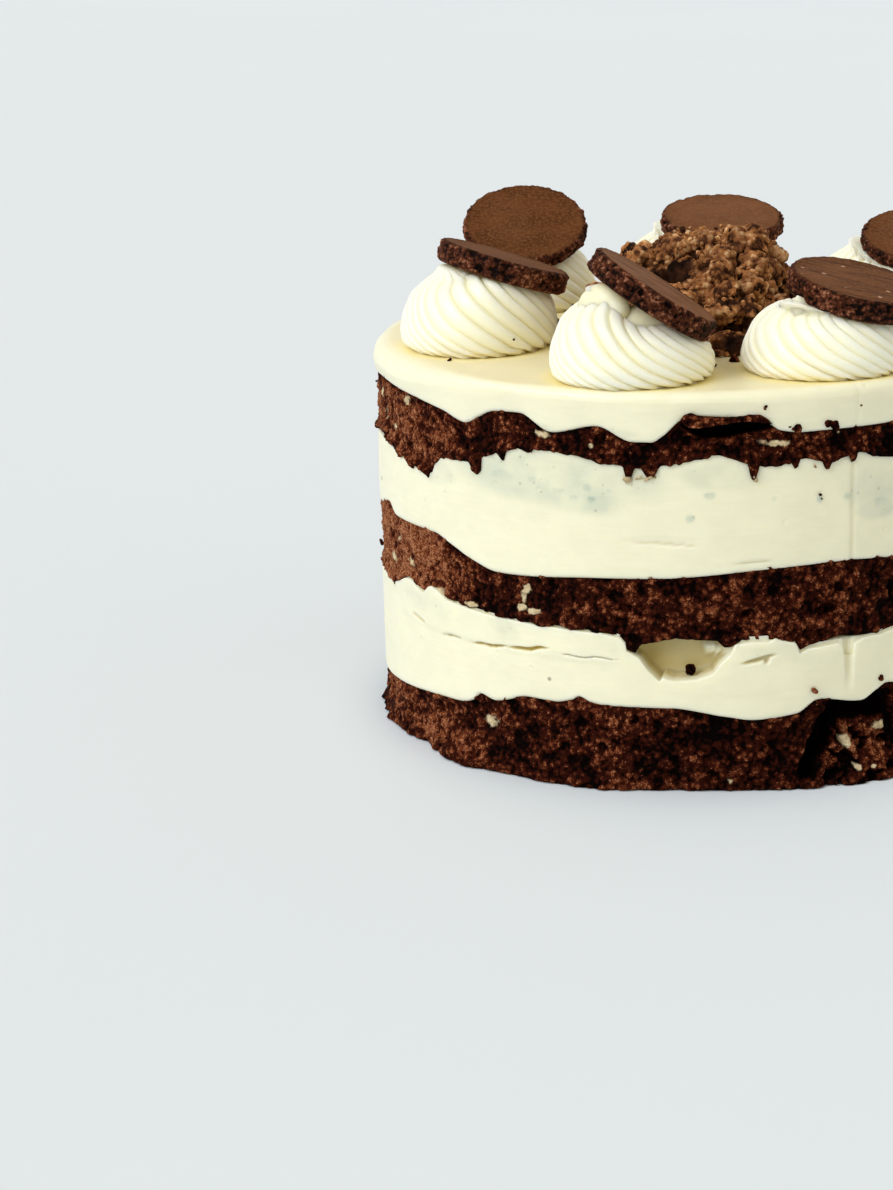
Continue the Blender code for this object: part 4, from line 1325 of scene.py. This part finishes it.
# How strongly each biscuit's face is scored, the share of places with a grain of sugar, and how
# dusty the face is.
FACES = [(0.3, 0.010, 0.30), (0.8, 0.012, 0.85), (0.6, 0.150, 0.24), (0.3, 0.02, 0.20),
         (0.0, 0.0, 0.12), (0.0, 0.004, 0.30), (0.1, 0.0, 0.04)]
for number, (swirl, (scored, sugar, tone)) in enumerate(zip(SWIRLS, FACES), start=1):
    own, look, face = biscuit_rings(swirl, number)
    rings = own @ biscuit_axes(swirl).T + np.array(swirl.biscuit) * MM
    values = {"relief": look, "face": face, "scored": 0 * look + scored,
              "sugar": 0 * look + sugar, "tone": dusty_face(own, number, tone)}
    name = f"biscuit_{number}"
    piece = skin(name, rings, BISCUIT, values)
    middles = own[[0, -1]].mean(axis=1)
    held = piece.data.attributes.new("own_place", "FLOAT_VECTOR", "POINT")
    held.data.foreach_set("vector", np.concatenate([own.reshape(-1, 3), middles]).ravel())
    finish_piece(piece, "biscuit", name)

# %% [markdown]
# ## The heap of crumbs
# Offcuts of sponge were rubbed to crumbs and piled up in the ring of swirls. They cling
# together in lumps the size of peas, and between the lumps are deep dark gaps. What is finer
# than a grain of rice is relief on a solid core. The lumps that stand out are real lumps, half
# sunk in the core, and the loose crumbs on top of them are real too.

# %% Finish of the crumbs
CAKE_CRUMB, tree, shader = new_finish("rubbed_cake_crumb", Roughness=0.78,
                                      Specular_IOR_Level=0.08)
# Hollows are painted near black as shade, crests partly painted light, and glints are painted
# highlights.
crumb = grouped(tree, CRUMB, Hollow=(0.010, 0.003, 0.001), Body=(0.37, 0.140, 0.042),
                Crest=(0.74, 0.41, 0.170), Glint=(0.86, 0.64, 0.42),
                Relief=kept(tree, "relief"), Grain=0.8 * MM, Zones=6 * MM)
patched = grouped(tree, PATCHES, Color=crumb["Color"], Other=(0.115, 0.040, 0.016),
                  Size=4.5 * MM, Amount=0.6)
fill(tree, shader.inputs["Base Color"], patched["Color"])
raised(tree, shader, crumb["Height"], 0.5 * MM)
print("crumb finish:", CAKE_CRUMB.name)


# %% Shape of the heap
HEAP_OUTLINE = [(-75, 33.0), (14, 36.0), (82, 28.5), (150, 31.0), (215, 33.0)]
HEAP_HEIGHT, HEAP_LEAN = 24.5 * MM, 3.5 * MM


def heap_reach(turn):
    """How far the foot of the heap spreads: to its outline, or up to a swirl, whose circle a ray
    at this azimuth meets at a - sqrt(c^2 - s^2), with a along the ray and s beside it."""
    reach = line(HEAP_OUTLINE, np.degrees(turn))
    for swirl in SWIRLS:
        middle = swirl_middle(swirl)
        along = middle[0] * np.sin(turn) - middle[1] * np.cos(turn)
        side = middle[0] * np.cos(turn) + middle[1] * np.sin(turn)
        clear = (swirl.radius + 1.2) * MM
        edge = along - np.sqrt(np.maximum(clear**2 - side**2, 0.0))
        reach = np.where((along > 0) & (np.abs(side) < clear), np.minimum(reach, edge), reach)
    return reach


def heap_surface(turn, share, shrink=0.0):
    """A point of the heap at this azimuth and this share of the way from the peak to the foot:
    its height is H (1 - share^2.2). Shrink takes that many metres off all round."""
    up = 1 - share**2.2
    radius = share * (heap_reach(turn) - shrink)
    x = radius * np.sin(turn) + HEAP_LEAN * up
    height = CAKE_TOP + (HEAP_HEIGHT - shrink) * up + 0 * radius
    return np.stack([x, -radius * np.cos(turn), height], -1)


print(f"heap {HEAP_HEIGHT / MM:.1f} mm high")

# %% Relief of rubbed crumbs
# Gaps between lumps, dented in and painted dark as shade: place, radius and depth, in
# millimetres.
GAPS = np.array([
    (-4.9, -15.0, 105.0, 4.4, 6.0), (19.3, -8.0, 99.0, 4.0, 4.5), (5.0, -21.0, 103.6, 2.6, 3.4),
    (10.3, -10.0, 110.0, 2.4, 3.0), (9.5, -33.0, 94.6, 4.0, 3.0), (-12, 20, 104, 3.2, 4.0),
    (14, 18, 101, 3.2, 4.0), (-20, 2, 99, 3.2, 3.5), (2, 8, 112, 3.0, 3.5),
])


def crumb_relief(points):
    """Rubbed crumbs: lumps of about 5 mm, beads of 2 mm on them, and gaps. Returns how far each
    point stands out in metres, and how high it looks."""
    lump = cell_noise(points, 5.5 * MM, 901)[0]
    bead, bead_lot = cell_noise(points, 1.7 * MM, 911)
    fine = soft_noise(points, 0.8 * MM, 921)
    gap = np.zeros(points.shape[:-1])
    for *place, radius, depth in GAPS:
        away = np.linalg.norm(points - np.array(place) * MM, axis=-1) / (radius * MM)
        gap = np.maximum(gap, depth * ease(away, 1.3, 0.5))
    mass = cell_noise(points, 11 * MM, 931)[0]
    crevice = ease(mass + 0.15 * fine, 0.62, 0.85)
    out = 1.5 * (0.6 - lump) + 1.2 * (0.55 - bead) + 0.25 * fine - gap - 1.6 * crevice
    # Painted shade: points in the gaps and in the crevices between masses are made to look deep, so
    # the finish paints them darker.
    look = 0.46 + 0.35 * (0.6 - lump) + 0.85 * (0.5 - bead) - 0.40 * gap
    look = look + 0.35 * (bead_lot - 0.5) - 0.45 * crevice
    return out * MM, look


# %% Core of the heap
def near_foot(points):
    """1 at the foot of the heap, where less light comes in, and 0 from 9 mm up."""
    return ease(points[..., 2], CAKE_TOP + 9 * MM, CAKE_TOP + 1 * MM)


rows, columns = 110, 360
share = np.linspace(1.0, 0.02, rows)[:, None] ** 0.9  # closer rows near the foot
core = heap_surface(full_turn(columns), share, 2.6 * MM)
out, look = crumb_relief(core)
way = core - np.array([HEAP_LEAN, 0.0, CAKE_TOP - 14 * MM])
way /= np.linalg.norm(way, axis=-1, keepdims=True)
grown = ease(share, 1.0, 0.93)
core = core + way * (out * grown)[..., None]
HEAP_FOOT = CAKE_TOP - 0.1 * MM  # sunk a little into the cream
core[..., 2] = np.maximum(core[..., 2], HEAP_FOOT)
piece = skin("heap_core", core, CAKE_CRUMB, {"relief": look - 0.55 * near_foot(core)})
finish_piece(piece, "crumbs", "crumb_heap")


# %% Many crumbs at once
def crowd(places, sizes, rows, columns, squash, rough, seed):
    """Many lumps at once, as (lump, row, column, 3): balls stretched by random shares up to
    squash, turned at random, and pushed in and out by rough times noise. Also how high each point
    looks."""
    random = np.random.default_rng(seed)
    count = len(places)
    down = np.linspace(math.pi, 0.0, rows + 2)[1:-1, None]
    around = full_turn(columns)
    ball = np.stack([np.sin(down) * np.cos(around), np.sin(down) * np.sin(around),
                     np.cos(down) + 0 * around], -1)
    stretch = random.uniform(1 - squash, 1 + squash, (count, 3))
    turns = np.linalg.qr(random.normal(size=(count, 3, 3)))[0]
    turns *= np.sign(np.linalg.det(turns))[:, None, None]
    way = np.einsum("nij,rcj->nrci", turns, ball)
    body = np.einsum("nij,nrcj->nrci", turns, ball * stretch[:, None, None, :])
    size = sizes[:, None, None, None]
    points = places[:, None, None, :] + body * size / 2
    soft = soft_noise(points / size + np.arange(count)[:, None, None, None], 0.45, seed)
    bead, lot = cell_noise(points, 1.5 * MM, seed + 3)
    dent = ease(lot, 0.30, 0.20)
    out = rough * (0.42 * soft * size[..., 0] / 2 + (1.15 * (0.5 - bead) - 0.5 * dent) * MM)
    look = 0.55 + 0.25 * soft + 0.9 * (0.5 - bead) + 0.35 * (lot - 0.5) - 0.4 * dent
    return points + way * out[..., None], look


def clear_of_gaps(places, spare):
    """True for places more than spare millimetres outside every dark gap."""
    away = np.linalg.norm(places[:, None] - GAPS[:, :3] * MM, axis=-1)
    return (away > (GAPS[:, 3] + spare) * MM).all(axis=1)


# %% Lumps that stand out
# Place and size in millimetres.
LUMPS = np.array([
    (13.7, -6, 109.8, 7.5), (9.2, -6, 110.0, 6.5), (17.6, -2, 106.4, 7.5), (-0.1, -4, 110.0, 5.0),
    (-6.0, 0, 108.8, 7.0), (-13.2, -6, 106.0, 8.0), (-7.4, -8, 107.2, 6.0),
    (7.1, -14, 107.6, 6.5), (6.3, -21, 104.6, 8.0), (7.0, -25, 101.0, 7.0), (13.3, -10, 106.2, 6.5),
    (17.1, -8, 103.6, 6.5), (12.4, -19, 101.2, 8.0), (6.2, -29, 98.0, 7.0), (12.0, -27, 97.0, 7.5),
    (7.9, -33.5, 91.8, 6.5), (20.0, -4, 101.5, 5.5), (1.2, -20, 101.8, 6.0), (-18.0, -8, 103.6, 7.0),
    (-11.5, -17, 102.5, 6.5), (3.5, -9, 109.6, 5.0), (13.0, 3, 108.4, 6.5), (3.0, 6, 107.5, 7.0),
])
random = np.random.default_rng(41)
count = 64  # more lumps, at random places
turn = random.uniform(0, 2 * math.pi, count)
share = random.uniform(0.05, 1.0, count) ** 0.55 * 0.97
spread = heap_surface(turn, share, 3.0 * MM)
sizes = random.uniform(3.2, 7.5, count)
clear = clear_of_gaps(spread, 2.2)
places = np.concatenate([LUMPS[:, :3] * MM, spread[clear]])
sizes = np.concatenate([LUMPS[:, 3], sizes[clear]]) * MM
places[:, 2] = np.maximum(places[:, 2], CAKE_TOP + 0.3 * sizes)
balls, look = crowd(places, sizes, 24, 36, 0.22, 1.0, 50)
balls[..., 2] = np.maximum(balls[..., 2], HEAP_FOOT)
finish_piece(skins("heap_lumps", balls, CAKE_CRUMB, {"relief": look - 0.5 * near_foot(balls)}),
             "crumbs")

# %% Loose crumbs on the heap and at its foot
count, fallen = 620, 90
turn = random.uniform(0, 2 * math.pi, count)
share = random.uniform(0.02, 1.0, count) ** 0.55 * 0.98
places = heap_surface(turn, share, random.uniform(0.8, 3.0, count) * MM)
sizes = random.uniform(0.8, 2.0, count) * MM
clear = clear_of_gaps(places, 0.8)
at_foot = heap_surface(random.uniform(0, 2 * math.pi, fallen), random.uniform(0.93, 1.04, fallen))
fallen_sizes = random.uniform(0.9, 2.8, fallen) * MM
at_foot[:, 2] = np.maximum(at_foot[:, 2] - 1 * MM, CAKE_TOP + 0.3 * fallen_sizes)
places = np.concatenate([places[clear], at_foot])
sizes = np.concatenate([sizes[clear], fallen_sizes])
balls, look = crowd(places, sizes, 4, 7, 0.35, 0.6, 60)
finish_piece(skins("heap_crumbs", balls, CAKE_CRUMB, {"relief": look + 0.1}), "crumbs")

# %% [markdown]
# ## Stray crumbs
# A scraped cake always sheds. Each stray crumb is half sunk in the cream that holds it: some lie
# on the sides, one in the torn hollow, a few in the front swirl's dip and on the top. The right
# side and the back get their own, at seeded random places. They are one piece, with the
# sponge's finish, and the ones that cling to pale bits are pale too.

# %% Stray crumbs
# On the sides: azimuth, height, size and how pale. Elsewhere: place and size.
ON_SIDES = [
    (20.0, 22.3, 1.7, 0.1), (11.3, 85.6, 1.4, 0.0), (11.5, 86.3, 1.1, 0.0), (27.7, 84.5, 0.8, 0.0),
    (27.5, 86.3, 0.6, 0.0), (23.0, 80.6, 2.8, 0.0), (22.0, 81.3, 1.6, 0.0), (16.6, 80.9, 1.7, 0.1),
    (15.4, 81.3, 0.9, 0.0), (32.5, 23.0, 1.0, 0.0), (20.6, 66.0, 0.8, 0.0), (20.9, 65.0, 0.6, 0.0),
    (-10.9, 70.3, 1.3, 0.60), (-9.0, 70.7, 1.2, 0.75), (-7.5, 70.5, 1.6, 0.65),
    (-6.5, 70.9, 1.2, 0.55), (9.8, 70.2, 1.2, 0.50), (19.9, 72.2, 0.8, 0.40),
]
ELSEWHERE = np.array([
    (-1.0, -71.6, 27.2, 2.4), (9.0, -41.5, 89.4, 1.9), (-54.6, -36.7, 89.1, 1.2),
    (-38.2, -30.6, 95.5, 0.9), (-40.4, -33.5, 93.0, 1.0), (-10.5, -57.5, 101.0, 1.3),
    (-8.6, -62.5, 101.6, 1.5), (-7.2, -62.0, 101.7, 1.0), (-12.2, -59.5, 101.0, 0.8),
    (-11.4, -63.4, 101.5, 0.7), (4.5, -47.0, 89.3, 1.0), (13.5, -43.5, 89.3, 0.7),
])
random = np.random.default_rng(91)
stray = np.stack([random.uniform(45, 275, 34), random.uniform(22, 86, 34),
                  random.uniform(0.6, 1.7, 34), np.zeros(34)], -1)
stray = np.concatenate([np.array(ON_SIDES), stray])
sides = wall_points(CREAM_WALL + 0.1 * MM, stray[:, 1] * MM, np.radians(stray[:, 0]))
places = np.concatenate([sides, ELSEWHERE[:, :3] * MM])
sizes = np.concatenate([stray[:, 2], ELSEWHERE[:, 3]]) * MM
pale = np.concatenate([stray[:, 3], np.zeros(len(ELSEWHERE))])[:, None, None]
balls, look = crowd(places, sizes, 9, 14, 0.42, 0.7, 92)
values = {"relief": look + 0.10, "pale": 0 * look + pale}
finish_piece(skins("stray_crumbs", balls, SPONGE, values), "crumbs")
